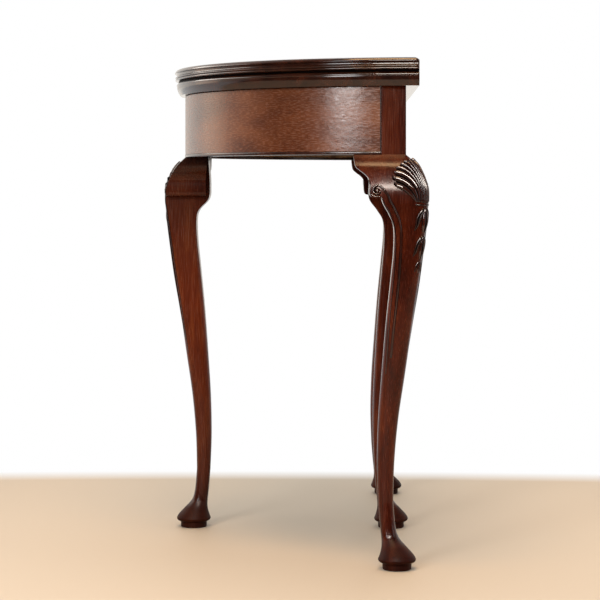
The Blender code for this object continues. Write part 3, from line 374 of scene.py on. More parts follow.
class CabrioleLeg:
    """Where a leg's faces are at each height, and how the leg stands in the table."""

    def __init__(self, name, body, side, facing, depth, growths=(), at_corner=False):
        self.name = name
        self.body = body
        self.side = side
        self.facing = facing
        self.depth = depth
        self.at_corner = at_corner
        self.stile = CORNER_STILE if at_corner else MIDDLE_STILE
        self.spread = 1.0 if at_corner else MIDDLE_CARVING_SHARE
        self.band = 1.0 if at_corner else MIDDLE_BAND_SHARE
        template = SWAY_SHARES
        if growths:
            template = [(row[0], row[1], growth) for row, growth in zip(SWAY_SHARES, growths)]
        self.rows = [tuple(row) for row in smooth_rows(template, SWAY_STEPS)]
        self.heights = [row[0] for row in reversed(self.rows)]

    def world(self, out, forward, z):
        """A point so far out to the side and forward of the frame's face, in the world."""
        if self.at_corner:
            return Vector((self.side * (CORNER_FACE_X + out), FRAME_HALF_DEPTH + forward, z))
        return Vector((out, self.facing * (FRAME_HALF_DEPTH + forward), z))

    def beside(self, turned, out, forward, z):
        """A point on the bracket at one side: how far from the stile, and from the frame's face."""
        if not self.at_corner:
            x = MIDDLE_STILE / 2 + out
            face = FRAME_HALF_DEPTH
            if self.facing < 0:
                face += arc_reach(x) - arc_reach(MIDDLE_STILE / 2)
            return Vector((turned * x, self.facing * (face + forward), z))
        if turned < 0:
            return Vector((self.side * (STILE_INNER_X - out), FRAME_HALF_DEPTH + forward, z))
        y = STILE_FRONT_Y - out
        return Vector((self.side * (arc_reach(ARC_CENTRE_Y - y) + forward), y, z))

    def section(self, row):
        """Low corner, high corner, radius of the knee's corners and of the flanks', and height."""
        height_share = row[0]
        z, outer, inner = sway(self.depth, row)
        if self.at_corner:
            low, high, least = (inner, inner), (outer, outer), (outer - inner) / 2
            shares = CORNER_ROUND_SHARES
        else:
            half = ANKLE_SIZE / 2
            growth = 1 - (1 - height_share) ** WIDTH_GROWTH_POWER
            half += (self.stile / 2 - half) * growth
            low, high, least = (-half, inner), (half, outer), min(half, (outer - inner) / 2)
            shares = MIDDLE_ROUND_SHARES
        knee, flank = (max(least * roundness(height_share, *share), ARRIS_RADIUS) for share in shares)
        under = (BRACKET_BOTTOM - z) / CRISP_LENGTH
        crisp = min(max(under, HAIR / ARRIS_RADIUS), 1.0)
        flank *= crisp
        if not self.at_corner:
            knee *= crisp
        elif height_share > SQUARE_TOP_SHARE:
            knee = ARRIS_RADIUS
        return low, high, knee, flank, z

    def section_at(self, z):
        """The leg's section at any height, between its rows."""
        share = (z - ANKLE_HEIGHT) / (FRAME_BOTTOM - ANKLE_HEIGHT)
        place = min(max(bisect.bisect_right(self.heights, share), 1), len(self.rows) - 1)
        upper = self.rows[len(self.rows) - 1 - place]
        lower = self.rows[len(self.rows) - place]
        part = min(max((share - lower[0]) / (upper[0] - lower[0]), 0.0), 1.0)
        return self.section([b + (a - b) * part for a, b in zip(upper, lower)])

    def edge_at(self, z):
        """How far from the ridge the outer edge of a carved face lies."""
        low, high, knee, flank, _ = self.section_at(z)
        if self.at_corner:
            return knee * math.pi / 4 + high[1] - knee - low[1] - flank * FLANK_TURN_SHARE
        return high[0] - knee + knee * math.pi / 4

    def surface(self, away, z):
        """The point at a distance round the leg from the middle of its knee, on over a bracket."""
        low, high, knee, flank, _ = self.section_at(z)
        turned = math.copysign(1.0, away)
        away = abs(away)
        if self.at_corner:
            quarter = knee * math.pi / 4
            past = away - quarter - (high[1] - knee - low[1] - flank)
            if away <= quarter:
                angle = math.pi / 4 - away / knee
                out = high[0] - knee + knee * math.cos(angle)
                forward = high[1] - knee + knee * math.sin(angle)
            elif past > 0 and z < BRACKET_BOTTOM:
                angle = min(past / flank, math.pi / 2)
                out = high[0] - flank * (1 - math.cos(angle)) - (past - angle * flank)
                forward = low[1] + flank * (1 - math.sin(angle))
            else:
                out = high[0]
                forward = high[1] - knee - (away - quarter)
                if forward < -CORNER_STILE:
                    return self.beside(turned, -CORNER_STILE - forward, high[0], z)
            if turned < 0:
                out, forward = forward, out
            return self.world(out, forward, z)
        if away > MIDDLE_STILE / 2 and z > BRACKET_BOTTOM:
            return self.beside(turned, away - MIDDLE_STILE / 2, high[1], z)
        flat = high[0] - knee
        if away <= flat:
            return self.world(turned * away, high[1], z)
        angle = math.pi / 2 - (away - flat) / max(knee, HAIR)
        if angle >= 0:
            out = flat + knee * math.cos(angle)
            return self.world(turned * out, high[1] - knee + knee * math.sin(angle), z)
        rest = away - flat - knee * math.pi / 2
        return self.world(turned * high[0], high[1] - knee - rest, z)

    def normal(self, away, z):
        """The way out of the carved face, square to it."""
        across = self.surface(away + SURFACE_STEP, z) - self.surface(away - SURFACE_STEP, z)
        along = self.surface(away, z + SURFACE_STEP) - self.surface(away, z - SURFACE_STEP)
        normal = across.cross(along).normalized()
        middle = self.world(-self.stile / 2 if self.at_corner else 0.0, -self.stile / 2, z)
        if normal.dot(self.surface(away, z) - middle) < 0:
            normal.negate()
        return normal

    def relief(self, away, z, height):
        """A point that stands so high over the carved face."""
        return self.surface(away, z) + self.normal(away, z) * height


def smooth_rows(rows, steps):
    """Catmull-Rom rows between the given ones, which stay."""
    made = []
    last = len(rows) - 1
    for i in range(last):
        before, start, end, after = (
            Vector(rows[max(i - 1, 0)]),
            Vector(rows[i]),
            Vector(rows[i + 1]),
            Vector(rows[min(i + 2, last)]),
        )
        for step in range(steps):
            t = step / steps
            made.append(
                0.5 * (
                    2 * start
                    + (end - before) * t
                    + (2 * before - 5 * start + 4 * end - after) * t**2
                    + (3 * start - before - 3 * end + after) * t**3
                )
            )
    made.append(Vector(rows[last]))
    return made


def sway(stile, share_row):
    """Height, outer face and inner face of a leg's template, measured from its stile's face."""
    height_share, out_share, growth_share = share_row
    ankle_face = ANKLE_SIZE / 2 - ANKLE_SET_BACK
    z = ANKLE_HEIGHT + (FRAME_BOTTOM - ANKLE_HEIGHT) * height_share
    outer = ankle_face + (KNEE_REACH - ankle_face) * out_share
    thickness = ANKLE_SIZE + (KNEE_REACH + stile - ANKLE_SIZE) * growth_share
    return z, outer, max(outer - thickness, -stile - ANKLE_SIZE)


def roundness(height_share, start_share, end_share):
    """How round a corner of the leg is, from its start at the knee to the full round below."""
    part = (ROUND_START_SHARE - height_share) / (ROUND_START_SHARE - end_share)
    return start_share + (ROUND_FULL_SHARE - start_share) * min(max(part, 0.0), 1.0)


KNEE_ROWS = [sway(CORNER_STILE, row) for row in smooth_rows(SWAY_SHARES, SWAY_STEPS)]


def knee_face(z):
    """How far the knee stands out of its stile at a height, for the brackets beside it."""
    for upper, lower in zip(KNEE_ROWS, KNEE_ROWS[1:]):
        if z >= lower[0]:
            part = (z - lower[0]) / (upper[0] - lower[0])
            return max(lower[1] + (upper[1] - lower[1]) * min(part, 1.0), 0.0)
    return 0.0


def new_grid(shape, across, along):
    """Adds a grid to a bmesh and gives each of its points with its column and its row."""
    grid = bmesh.ops.create_grid(shape, x_segments=across, y_segments=along, size=1.0)
    for vert in grid["verts"]:
        yield vert, round((vert.co.x + 1) / 2 * across), round((vert.co.y + 1) / 2 * along)


def closed_up(shape):
    """The shape with its seam merged and its open ends filled."""
    bmesh.ops.remove_doubles(shape, verts=shape.verts, dist=MERGE)
    rims = [edge for edge in shape.edges if edge.is_boundary]
    bmesh.ops.holes_fill(shape, edges=rims, sides=0)
    return shape


def wrapped(across, along, place):
    """A grid laid over a form: place(i, j) puts its point of row j and column i."""
    shape = bmesh.new()
    for vert, i, j in new_grid(shape, across, along):
        vert.co = place(i, j)
    return closed_up(shape)


def swept_round(section, end_angle, steps):
    """A closed section of (radius, z) points spun round the centre of the frieze's curve."""
    shape = bmesh.new()
    start = -math.pi / 2 - end_angle
    verts = [
        shape.verts.new((r * math.cos(start), ARC_CENTRE_Y + r * math.sin(start), z))
        for r, z in section
    ]
    face = shape.faces.new(verts)
    bmesh.ops.spin(
        shape,
        geom=[face, *face.edges, *verts],
        cent=(0.0, ARC_CENTRE_Y, 0.0),
        axis=(0.0, 0.0, 1.0),
        angle=2 * end_angle,
        steps=steps,
        use_merge=False,
    )
    return closed_up(shape)


def lathed(start, end, rows=(), radius=0.0, segments=48):
    """A solid turned about the line from start to end, by rows of distance and radius."""
    start, end = Vector(start), Vector(end)
    turn = (end - start).to_track_quat("Z", "Y")
    rows = rows or ((0.0, radius), ((end - start).length, radius))

    def place(i, j):
        angle = 2 * math.pi * i / segments
        distance, reach = rows[j]
        return start + turn @ Vector((reach * math.cos(angle), reach * math.sin(angle), distance))

    return wrapped(segments, len(rows) - 1, place)


def prism(outline, low_z, high_z):
    """A plan raised from one height to another."""
    count = len(outline)
    levels = (low_z, high_z)
    return wrapped(count, 1, lambda i, j: Vector((*outline[i % count], levels[j])))


def block(low, high, turn=None):
    """A box between two corners, turned about its middle."""
    low, high = Vector(low), Vector(high)
    shape = bmesh.new()
    matrix = Matrix.Translation((low + high) / 2) @ (turn or Matrix())
    bmesh.ops.create_cube(shape, size=1.0, matrix=matrix @ Matrix.Diagonal((*(high - low), 1.0)))
    return shape


def finished_mesh(name, shape):
    """A mesh of a bmesh, which is used up."""
    mesh = bpy.data.meshes.new(name)
    shape.to_mesh(mesh)
    shape.free()
    return mesh


def shown(name, data):
    """A new object in the scene for a mesh, a lamp or a camera."""
    made = bpy.data.objects.new(name, data)
    bpy.context.scene.collection.objects.link(made)
    return made


def combined(shape, tool, operation="DIFFERENCE"):
    """The shape after a boolean with a tool, which is used up."""
    pair = []
    for part in (shape, tool):
        bmesh.ops.recalc_face_normals(part, faces=part.faces)
        pair.append(shown("working", finished_mesh("working", part)))
    modifier = pair[0].modifiers.new("boolean", "BOOLEAN")
    modifier.operation = operation
    modifier.object = pair[1]
    done = bmesh.new()
    done.from_object(pair[0], bpy.context.evaluated_depsgraph_get())
    for part in pair:
        mesh = part.data
        bpy.data.objects.remove(part)
        bpy.data.meshes.remove(mesh)
    return done


def piece(name, shape, finish, body, slot, nodes=(), sharp=SHARP_ANGLE, closed=True, eased=0.0):
    """Makes a bmesh a finished piece that rides on a body and stands for its solids."""
    if closed:
        bmesh.ops.recalc_face_normals(shape, faces=shape.faces)
    mesh = finished_mesh(name, shape)
    mesh.materials.append(finish)
    mesh.shade_smooth()
    mesh.set_sharp_from_angle(angle=math.radians(sharp))
    made = shown(name, mesh)
    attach(made, body)
    if nodes:
        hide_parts(*nodes)
    if eased:
        bevel = made.modifiers.new("eased", "BEVEL")
        bevel.width = eased
        bevel.segments = 2
        bevel.angle_limit = math.radians(EASED_ANGLE)
    return made


def rounded_ring(low, high, z, radii, steps=ARC_STEPS):
    """A rounded rectangle in plan, with its radii from the (+, +) corner on."""
    corners = (
        (high[0], high[1], 1, 1),
        (low[0], high[1], -1, 1),
        (low[0], low[1], -1, -1),
        (high[0], low[1], 1, -1),
    )
    points = []
    for quarter, ((x, y, side_x, side_y), radius) in enumerate(zip(corners, radii)):
        for step in range(steps + 1):
            angle = math.pi / 2 * (quarter + step / steps)
            out = x + radius * (math.cos(angle) - side_x)
            points.append((out, y + radius * (math.sin(angle) - side_y), z))
    return points


def foot_rings(leg):
    """The rings of a pad foot from the ankle to the floor, round at its sole."""
    rings = []
    for height_share, out_share, growth_share in smooth_rows(FOOT_SHARES, FOOT_STEPS)[1:]:
        z = FOOT_HEIGHT + (ANKLE_HEIGHT - FOOT_HEIGHT) * height_share
        rings.append((out_share, z, (ANKLE_SIZE + (FOOT_DIAMETER - ANKLE_SIZE) * growth_share) / 2))
    sole = PAD_DIAMETER / 2 + (FOOT_DIAMETER - PAD_DIAMETER) / 8
    wide = FOOT_DIAMETER / 2
    for step in range(1, SOLE_STEPS + 1):
        angle = math.pi / 2 * step / SOLE_STEPS
        half = sole + (wide - sole) * math.cos(angle)
        rings.append((1.0, FOOT_HEIGHT - FOOT_SOLE_ROUND * math.sin(angle), half))
    edge = PAD_HEIGHT / 8
    rings += [(1.0, PAD_HEIGHT, PAD_DIAMETER / 2), (1.0, edge, PAD_DIAMETER / 2)]
    rings.append((1.0, 0.0, PAD_DIAMETER / 2 - edge))
    made = []
    for out_share, z, half in rings:
        middle = -ANKLE_SET_BACK + (ANKLE_SET_BACK - FOOT_SET_BACK) * out_share
        x = middle if leg.at_corner else 0.0
        low, high = (x - half, middle - half), (x + half, middle + half)
        made.append(rounded_ring(low, high, z, (half * ROUND_FULL_SHARE,) * 4))
    return made


def leg_body(leg, top_rings, finish, solid):
    """A leg in one piece: its stile's rings, its sections down to the ankle, and its foot."""
    rings = list(top_rings)
    for row in leg.rows:
        low, high, knee, flank, z = leg.section(row)
        radii = (knee, flank, flank, flank) if leg.at_corner else (knee, knee, flank, flank)
        rings.append(rounded_ring(low, high, z, radii))
    rings += foot_rings(leg)
    count = len(rings[0])
    shape = wrapped(count, len(rings) - 1, lambda i, j: leg.world(*rings[j][i % count]))
    piece(f"{leg.name}_turned_out", shape, finish, leg.body, "leg_mahogany", [solid])


def stile_rings(low, high, top_z, bottom_z):
    """The square block at the top of a leg."""
    return [rounded_ring(low, high, z, (ARRIS_RADIUS,) * 4) for z in (top_z, bottom_z)]


def outline_at(outline, share):
    """Reads a smoothed outline at a share of its rows."""
    spot = share * (len(outline) - 1)
    i = min(int(spot), len(outline) - 2)
    return outline[i] + (outline[i + 1] - outline[i]) * (spot - i)


def carve(shape, leg, across, along, place):
    """Adds a carved patch to a bmesh.

    place(i, j) gives a point's distance from the ridge, its drop under the frieze, its height
    over the leg's face and how deep it lies in shade, from 0 to 1.
    """
    shade = shape.verts.layers.float.get("recess") or shape.verts.layers.float.new("recess")
    before = set(shape.faces)
    for vert, i, j in new_grid(shape, across, along):
        away, drop, height, vert[shade] = place(i, j)
        vert.co = leg.relief(away, FRAME_BOTTOM - drop, height)
    made = [face for face in shape.faces if face not in before]
    away, drop, _, _ = place(across // 2, along // 2)
    shape.normal_update()
    facing = sum((face.normal * face.calc_area() for face in made), Vector())
    if facing.dot(leg.normal(away, FRAME_BOTTOM - drop)) < 0:
        bmesh.ops.reverse_faces(shape, faces=made)


def ribbon(shape, leg, path, across, profile, steps=6):
    """A carved strip along a path of distances, drops, half widths and heights."""
    points = smooth_rows(path, steps)
    last = len(points) - 1

    def place(i, j):
        ahead = points[min(j + 1, last)] - points[max(j - 1, 0)]
        length = math.hypot(ahead[0], ahead[1])
        side = 2 * i / across - 1
        away, drop, half, height = points[j]
        share, shade = profile(side, j / last)
        away += side * half * ahead[1] / length
        drop -= side * half * ahead[0] / length
        return away, drop, height * share - SUNK * (abs(side) > 0.999 or j in (0, last)), shade

    carve(shape, leg, across, last, place)


def button(shape, leg, away, drop, radius, height):
    """A round boss in a flat ring of painted shade: the eye of a scroll or the curled end of a rib."""

    def place(i, j):
        turn = 2 * math.pi * i / BOSS_SEGMENTS
        reach = j / BOSS_RINGS * BOSS_RING
        rise = height * math.sqrt(max(1 - reach**2, 0.0)) + HAIR - SUNK * (j == BOSS_RINGS)
        shade = min(max((reach - BOSS_SHADE_START) / BOSS_SHADE_START, 0.0), 1.0)
        out = radius * max(reach, BOSS_POINT)
        return away + out * math.cos(turn), drop + out * math.sin(turn), rise, shade

    carve(shape, leg, BOSS_SEGMENTS, BOSS_RINGS, place)


def round_bead(side, run):
    """A bead between two flat lines of painted shade, that fades out at both ends of its run."""
    fade = min(run / BEAD_FADE_IN, (1 - run) / BEAD_FADE_OUT, 1.0)
    core = abs(side) / BEAD_CORE
    rise = math.sqrt(max(1 - core**2, 0.0)) + BEAD_FLOOR
    return rise * fade, BEAD_END_SHADE * (1 - fade) + fade * min(core**2, 1.0)


def carving(leg, kind, shape, finish):
    """Makes carved patches a piece that lies on its leg."""
    name = f"{leg.name}_{kind}"
    piece(name, shape, finish, leg.body, "leg_mahogany", sharp=CARVED_SHARP_ANGLE, closed=False)


def shell(leg, finish):
    """The scallop shell on a knee: ribs that fan out from a ringed neck to a curved crown."""
    outline = smooth_rows(SHELL_OUTLINE, SHELL_OUTLINE_STEPS)
    across = SHELL_RIBS * RIB_STEPS

    def place(i, j):
        side = 2 * i / across - 1
        fan = abs(side)
        up = j / RIB_ROWS
        end = outline_at(outline, fan)
        neck = Vector((SHELL_NECK_HALF * fan, SHELL_NECK_DROP - SHELL_NECK_BOW * fan))
        reach = end - neck
        outer = max(fan - OUTER_RIBS_START, 0.0) / (1 - OUTER_RIBS_START)
        bend_x = neck.x + reach.x * (OUTER_RIB_BEND * outer - INNER_RIB_BEND)
        bend = Vector((bend_x, neck.y + reach.y * (1 - OUTER_RIB_DROOP * outer)))
        rib = abs(math.sin(math.pi * i / RIB_STEPS))
        run = up * (1 - SHELL_SCALLOP * (1 - rib))
        path = neck * (1 - run) ** 2 + bend * 2 * run * (1 - run) + end * run**2
        crest = SHELL_RELIEF * (NECK_RELIEF + (1 - NECK_RELIEF) * min(up / FULL_RELIEF_START, 1.0))
        height = crest * (VALLEY_RELIEF + (1 - VALLEY_RELIEF) * rib**RIB_POWER)
        rim = max(0.0, (up - RIM_START) / (1 - RIM_START))
        height *= math.sqrt(max(1 - rim**2, 0.0))
        # Painted shade in the valleys between the ribs
        shade = 1 - rib
        if i in (0, across) or j in (0, RIB_ROWS):
            height = -SUNK
            shade = 1.0
        away = leg.spread * path.x
        return math.copysign(away, side) if side else 0.0, path.y, height, shade

    shape = bmesh.new()
    carve(shape, leg, across, RIB_ROWS, place)
    for side in (-1, 1):
        for away, drop in CURLED_TIPS:
            button(shape, leg, side * leg.spread * away, drop, CURLED_TIP_RADIUS, CURLED_TIP_HEIGHT)
    half = SHELL_NECK_HALF * leg.spread
    collar = [
        (half * x, COLLAR_DROP - COLLAR_BOW * abs(x), COLLAR_HALF_WIDTH, COLLAR_HEIGHT)
        for x in (-1, -0.5, 0, 0.5, 1)
    ]
    # The collar round the neck: a low ridge with painted shade, darkest along its sides
    ribbon(shape, leg, collar, 8, lambda side, run: (math.sqrt(1 - side**2), 0.35 + 0.65 * side**2))
    carving(leg, "shell", shape, finish)


def petal(side, run):
    """A leaf with a sunk midrib and rolled edges, darkened by painted shade, most in the midrib and at its
    rim.
    """
    swell = math.sqrt(math.sin(math.pi * min(run * 0.93 + 0.06, 1.0)))
    crease = math.exp(-((side / MIDRIB_WIDTH) ** 2))
    rolled = math.exp(-(((abs(side) - ROLL_PLACE) / ROLL_WIDTH) ** 2))
    share = swell * max(1 - abs(side) ** 3, 0.0) * (1 - 0.5 * crease)
    shade = PETAL_SHADE + 0.5 * crease - PETAL_SHADE * rolled
    return share, 1.0 if abs(side) > PETAL_RIM else shade


def husks(leg, finish):
    """Bellflowers of three petals that hang one under another on the ridge of the knee."""
    shape = bmesh.new()
    for top, length, size in HUSKS:
        wide = HUSK_HALF_WIDTH * size * leg.spread
        slim = PETAL_HALF_WIDTH * size * (0.5 + 0.5 * leg.spread)
        rise = PETAL_RELIEF * size
        for side, shares in ((-1, SIDE_PETAL_SHARES), (1, SIDE_PETAL_SHARES), (1, MIDDLE_PETAL_SHARES)):
            path = [
                (side * wide * out, top + length * down, slim * width, rise * height)
                for out, down, width, height in shares
            ]
            ribbon(shape, leg, path, 12, petal, steps=5)
    carving(leg, "husks", shape, finish)


def scrolls(leg, finish):
    """The volutes on the brackets' noses, whose lines run on down the edges of the leg."""
    shape = bmesh.new()
    volute = []
    for turn, radius in SCROLL_TURN:
        angle = math.radians(turn)
        volute.append((SCROLL_EYE[0] + radius * math.cos(angle), SCROLL_EYE[1] - radius * math.sin(angle)))
    for side in (-1, 1):

        def on_face(offset, drop):
            return side * (leg.edge_at(FRAME_BOTTOM - drop) - offset * leg.band), drop

        button(shape, leg, *on_face(*SCROLL_EYE), SCROLL_EYE_RADIUS, SCROLL_EYE_HEIGHT)
        for points, line, across in (((*volute, *SCROLL_TAIL), SCROLL_LINE, 12), (EDGE_BEAD, EDGE_LINE, 8)):
            path = [(*on_face(*point), *line) for point in points]
            ribbon(shape, leg, path, across, round_bead)
    carving(leg, "scrolls", shape, finish)


def bracket_shape(place_at, top_z):
    """An ear bracket: its lower edge is the ogee outline, its face swells with the knee."""
    outline = smooth_rows(BRACKET_SHARES, BRACKET_STEPS)

    def section(out_share, drop_share):
        low_z = top_z - BRACKET_DROP * drop_share
        out = (SEAT_GAP + BRACKET_LENGTH) * out_share - HAIR
        turn = BRACKET_EASE * BRACKET_EASE_TURN
        points = []
        for row in range(BRACKET_ROWS + 1):
            z = low_z + (top_z - low_z) * row / BRACKET_ROWS
            points.append((out, knee_face(z), z))
        points[0] = (out, knee_face(low_z) - BRACKET_EASE, low_z)
        points.insert(1, (out, knee_face(low_z) - turn, low_z + turn))
        points.insert(2, (out, knee_face(low_z + BRACKET_EASE), low_z + BRACKET_EASE))
        points += [(out, -BRACKET_DEPTH, top_z), (out, -BRACKET_DEPTH, low_z)]
        return points

    rings = [section(*row) for row in outline]
    count = len(rings[0])
    return wrapped(count, len(rings) - 1, lambda i, j: place_at(*rings[j][i % count]))


def arc_reach(distance):
    """How far out of its centre the frieze's curve is, at a distance to the side."""
    return math.sqrt(FRIEZE_RADIUS**2 - distance**2)


def brackets(made, finishes):
    """The ear brackets at both sides of every leg."""
    for leg in made:
        # The front leg's brackets take its copy of the wood with painted light
        finish = finishes["lit_leg" if leg.name == "front" else "leg"]
        for turned, way, hand in ((1, "front", "right"), (-1, "back", "left")):
            solid = f"{leg.name}_{way}_bracket" if leg.at_corner else f"{hand}_{leg.name}_leg_bracket"
            shape = bracket_shape(lambda *spot: leg.beside(turned, *spot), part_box(solid)[1].z)
            piece(f"{solid}_ogee", shape, finish, leg.body, "leg_mahogany", [solid])


def leaf_point(i, inset, back_inset, z):
    """Point i of the half-round plan of a leaf, drawn in from its edge and its back."""
    radius = TOP_RADIUS - inset
    corner = max(PLAN_CORNER_RADIUS - inset, PLAN_CORNER_LEAST)
    middle_y = LEAF_BACK_Y - back_inset - corner
    reach = math.sqrt((radius - corner) ** 2 - (ARC_CENTRE_Y - middle_y) ** 2)
    tip = math.atan2(middle_y - ARC_CENTRE_Y, reach)
    half = LEAF_POINTS // 2
    side = 1 if i <= half else -1
    step = i if i <= half else LEAF_POINTS - i
    if step <= LEAF_ARC_STEPS:
        angle = -math.pi / 2 + (tip + math.pi / 2) * step / LEAF_ARC_STEPS
        return Vector((side * radius * math.cos(angle), ARC_CENTRE_Y + radius * math.sin(angle), z))
    angle = tip + (math.pi / 2 - tip) * (step - LEAF_ARC_STEPS) / PLAN_CORNER_STEPS
    x = reach + corner * math.cos(angle)
    return Vector((side * x, middle_y + corner * math.sin(angle), z))


def lip_at(lip, drop):
    """How far a lip's rows draw in the back of a leaf at a drop below its face."""
    for (inset, start), (next_inset, end) in zip(lip, lip[1:]):
        if drop <= end:
            return inset + (next_inset - inset) * (drop - start) / (end - start)
    return 0.0


def moulded(edge, lip, top_z):
    """A leaf with a moulding round its curve and a lip along its back."""

    def place(i, j):
        inset, drop = edge[j]
        back = lip_at(lip, drop) + LEAF_BACK_EASE * (j == 0)
        return leaf_point(i % LEAF_POINTS, inset, back, top_z - drop)

    return wrapped(LEAF_POINTS, len(edge) - 1, place)


def leaves(finishes):
    """The two leaves, recessed for their butts and their baize."""
    for level, body, edge, lip, top_z, facing in (
        ("upper", "top_leaf", UPPER_EDGE, BACK_LIP, upper_high.z, 1),
        ("lower", "frame", LOWER_EDGE, (), lower_high.z, -1),
    ):
        shape = moulded(edge, lip, top_z)
        for side in (-1, 1):
            for tool in butt_recesses(side, facing):
                shape = combined(shape, tool)
        cloth_low, cloth_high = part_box(f"{level}_baize")
        levels = (cloth_low.z - SEAT_GAP, cloth_high.z + OVERRUN)
        if facing > 0:
            levels = (cloth_low.z - OVERRUN, cloth_high.z + SEAT_GAP)
        shape = combined(shape, prism(cloth_outline(-SEAT_GAP), *levels))
        # Painted shade in the hollow between the leaves
        paint_joint_shade(shape)
        piece(f"moulded_{level}_leaf", shape, finishes["top"], body, "top_mahogany", [f"{level}_leaf"])
        playing_baize(level, body, finishes["baize"])


def playing_baize(level, body, finish):
    """The cloth laid in a leaf's recess, with eased rims."""
    low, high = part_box(f"{level}_baize")
    outline = cloth_outline(0.0)
    rows = (
        (BAIZE_EASE, low.z), (0.0, low.z + BAIZE_EASE), (0.0, high.z - BAIZE_EASE), (BAIZE_EASE, high.z),
    )
    rims = [cloth_outline(inset) for inset, _ in rows]

    def place(i, j):
        return Vector((*rims[j][i % LEAF_POINTS], rows[j][1]))

    shape = wrapped(LEAF_POINTS, len(rows) - 1, place)
    cloth = piece(f"{level}_playing_baize", shape, finish, body, "baize", [f"{level}_baize"])
    pairs = zip(outline, outline[1:] + outline[:1])
    area = abs(sum(a[0] * b[1] - a[1] * b[0] for a, b in pairs)) / 2


def paint_joint_shade(shape):
    """Paints shade into the hollow between the two leaves, which has no polish."""
    recess = shape.verts.layers.float.new("recess")
    for vert in shape.verts:
        inset = TOP_RADIUS - math.hypot(vert.co.x, vert.co.y - ARC_CENTRE_Y)
        from_joint = abs(vert.co.z - HINGE_Z)
        vert[recess] = JOINT_SHADE_INSETS[0] < inset < JOINT_SHADE_INSETS[1] and from_joint < JOINT_SHADE_HALF


def cloth_outline(inset):
    """The half-round plan of the baize, which keeps off the leaf's edge and its fold."""
    border, fold = BAIZE_BORDER + inset, BAIZE_FOLD_BORDER + inset
    return [tuple(leaf_point(i, border, fold, 0.0))[:2] for i in range(LEAF_POINTS)]


def butt_recesses(side, facing):
    """Cutters for a butt's plate and knuckle in the back edge of a leaf."""
    middle_x = side * BUTT_X
    reach = BUTT_LENGTH / 2 + SEAT_GAP
    depth = BUTT_CLEAR_RADIUS + BUTT_PLATE_HEIGHT + SEAT_GAP
    levels = sorted((HINGE_Z, HINGE_Z + facing * depth))
    low = (middle_x - reach, LEAF_BACK_Y - BUTT_PLATE_THICKNESS - SEAT_GAP, levels[0])
    yield block(low, (middle_x + reach, LEAF_BACK_Y + OVERRUN, levels[1]))
    yield lathed(*on_hinge_line(middle_x, -reach, reach), radius=BUTT_CLEAR_RADIUS)


def on_hinge_line(middle_x, start, end):
    return [(middle_x + x, HINGE_Y, HINGE_Z) for x in (start, end)]


def butt_plate(middle_x, facing, spans):
    """One leaf of a butt: its plate, the knuckles on their spans, the bore and the screw holes."""
    half = BUTT_LENGTH / 2
    front = LEAF_BACK_Y - BUTT_PLATE_THICKNESS
    near = HINGE_Z + facing * BUTT_CLEAR_RADIUS
    levels = sorted((near, near + facing * BUTT_PLATE_HEIGHT))
    shape = block((middle_x - half, front, levels[0]), (middle_x + half, LEAF_BACK_Y, levels[1]))
    levels = sorted((HINGE_Z, near + facing * KNUCKLE_CLEARANCE))
    for start, end in spans:
        low = (middle_x + start, front, levels[0])
        shape = combined(shape, block(low, (middle_x + end, LEAF_BACK_Y, levels[1])), "UNION")
        ends = on_hinge_line(middle_x, start, end)
        shape = combined(shape, lathed(*ends, radius=BUTT_KNUCKLE_RADIUS, segments=32), "UNION")
    ends = on_hinge_line(middle_x, -half - OVERRUN, half + OVERRUN)
    shape = combined(shape, lathed(*ends, radius=BUTT_PIN_RADIUS + SEAT_GAP, segments=16))
    z = near + facing * BUTT_PLATE_HEIGHT / 2
    wide = SCREW_HEAD_RADIUS + SEAT_GAP
    rows = (
        (0.0, wide + OVERRUN), (OVERRUN, wide), (OVERRUN + COUNTERSINK_DEPTH, wide - COUNTERSINK_DEPTH),
    )
    for way in (-1, 1):
        x = middle_x + way * BUTT_SCREW_SPACING / 2
        hole = lathed((x, LEAF_BACK_Y + OVERRUN, z), (x, front - OVERRUN, z), rows, segments=32)
        shape = combined(shape, hole)
    return shape


def butts(finish):
    """The brass butts: two plates with their knuckles, and the pin between them."""
    half, sixth = BUTT_LENGTH / 2, BUTT_LENGTH / 6
    run = KNUCKLE_CLEARANCE / 2
    middle_span = ((run - sixth, sixth - run),)
    outer_spans = ((-half, -sixth - run), (sixth + run, half))
    for side, name in ((1, "right"), (-1, "left")):
        for facing, level, body, spans in (
            (1, "upper", "top_leaf", middle_span),
            (-1, "lower", "frame", outer_spans),
        ):
            solid = f"{name}_{level}_butt_plate"
            shape = butt_plate(side * BUTT_X, facing, spans)
            piece(f"{solid}_and_knuckle", shape, finish, body, "brass", [solid], eased=BUTT_PLATE_EASE)
        solid = f"{name}_butt_pin"
        low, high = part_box(solid)
        rows = pin_rows(high.x - low.x, BUTT_PIN_RADIUS)
        pin = lathed(*on_hinge_line(0.0, low.x, high.x), rows, segments=24)
        piece(f"{name}_butt_turned_pin", pin, finish, "frame", "brass", [solid])


def pin_rows(length, radius):
    """A pin with slightly rounded ends."""
    end = radius * 0.3
    return (
        (0.0, radius * 0.6), (end * 0.3, radius * 0.9), (end, radius), (length - end, radius),
        (length - end * 0.3, radius * 0.9), (length, radius * 0.6),
    )


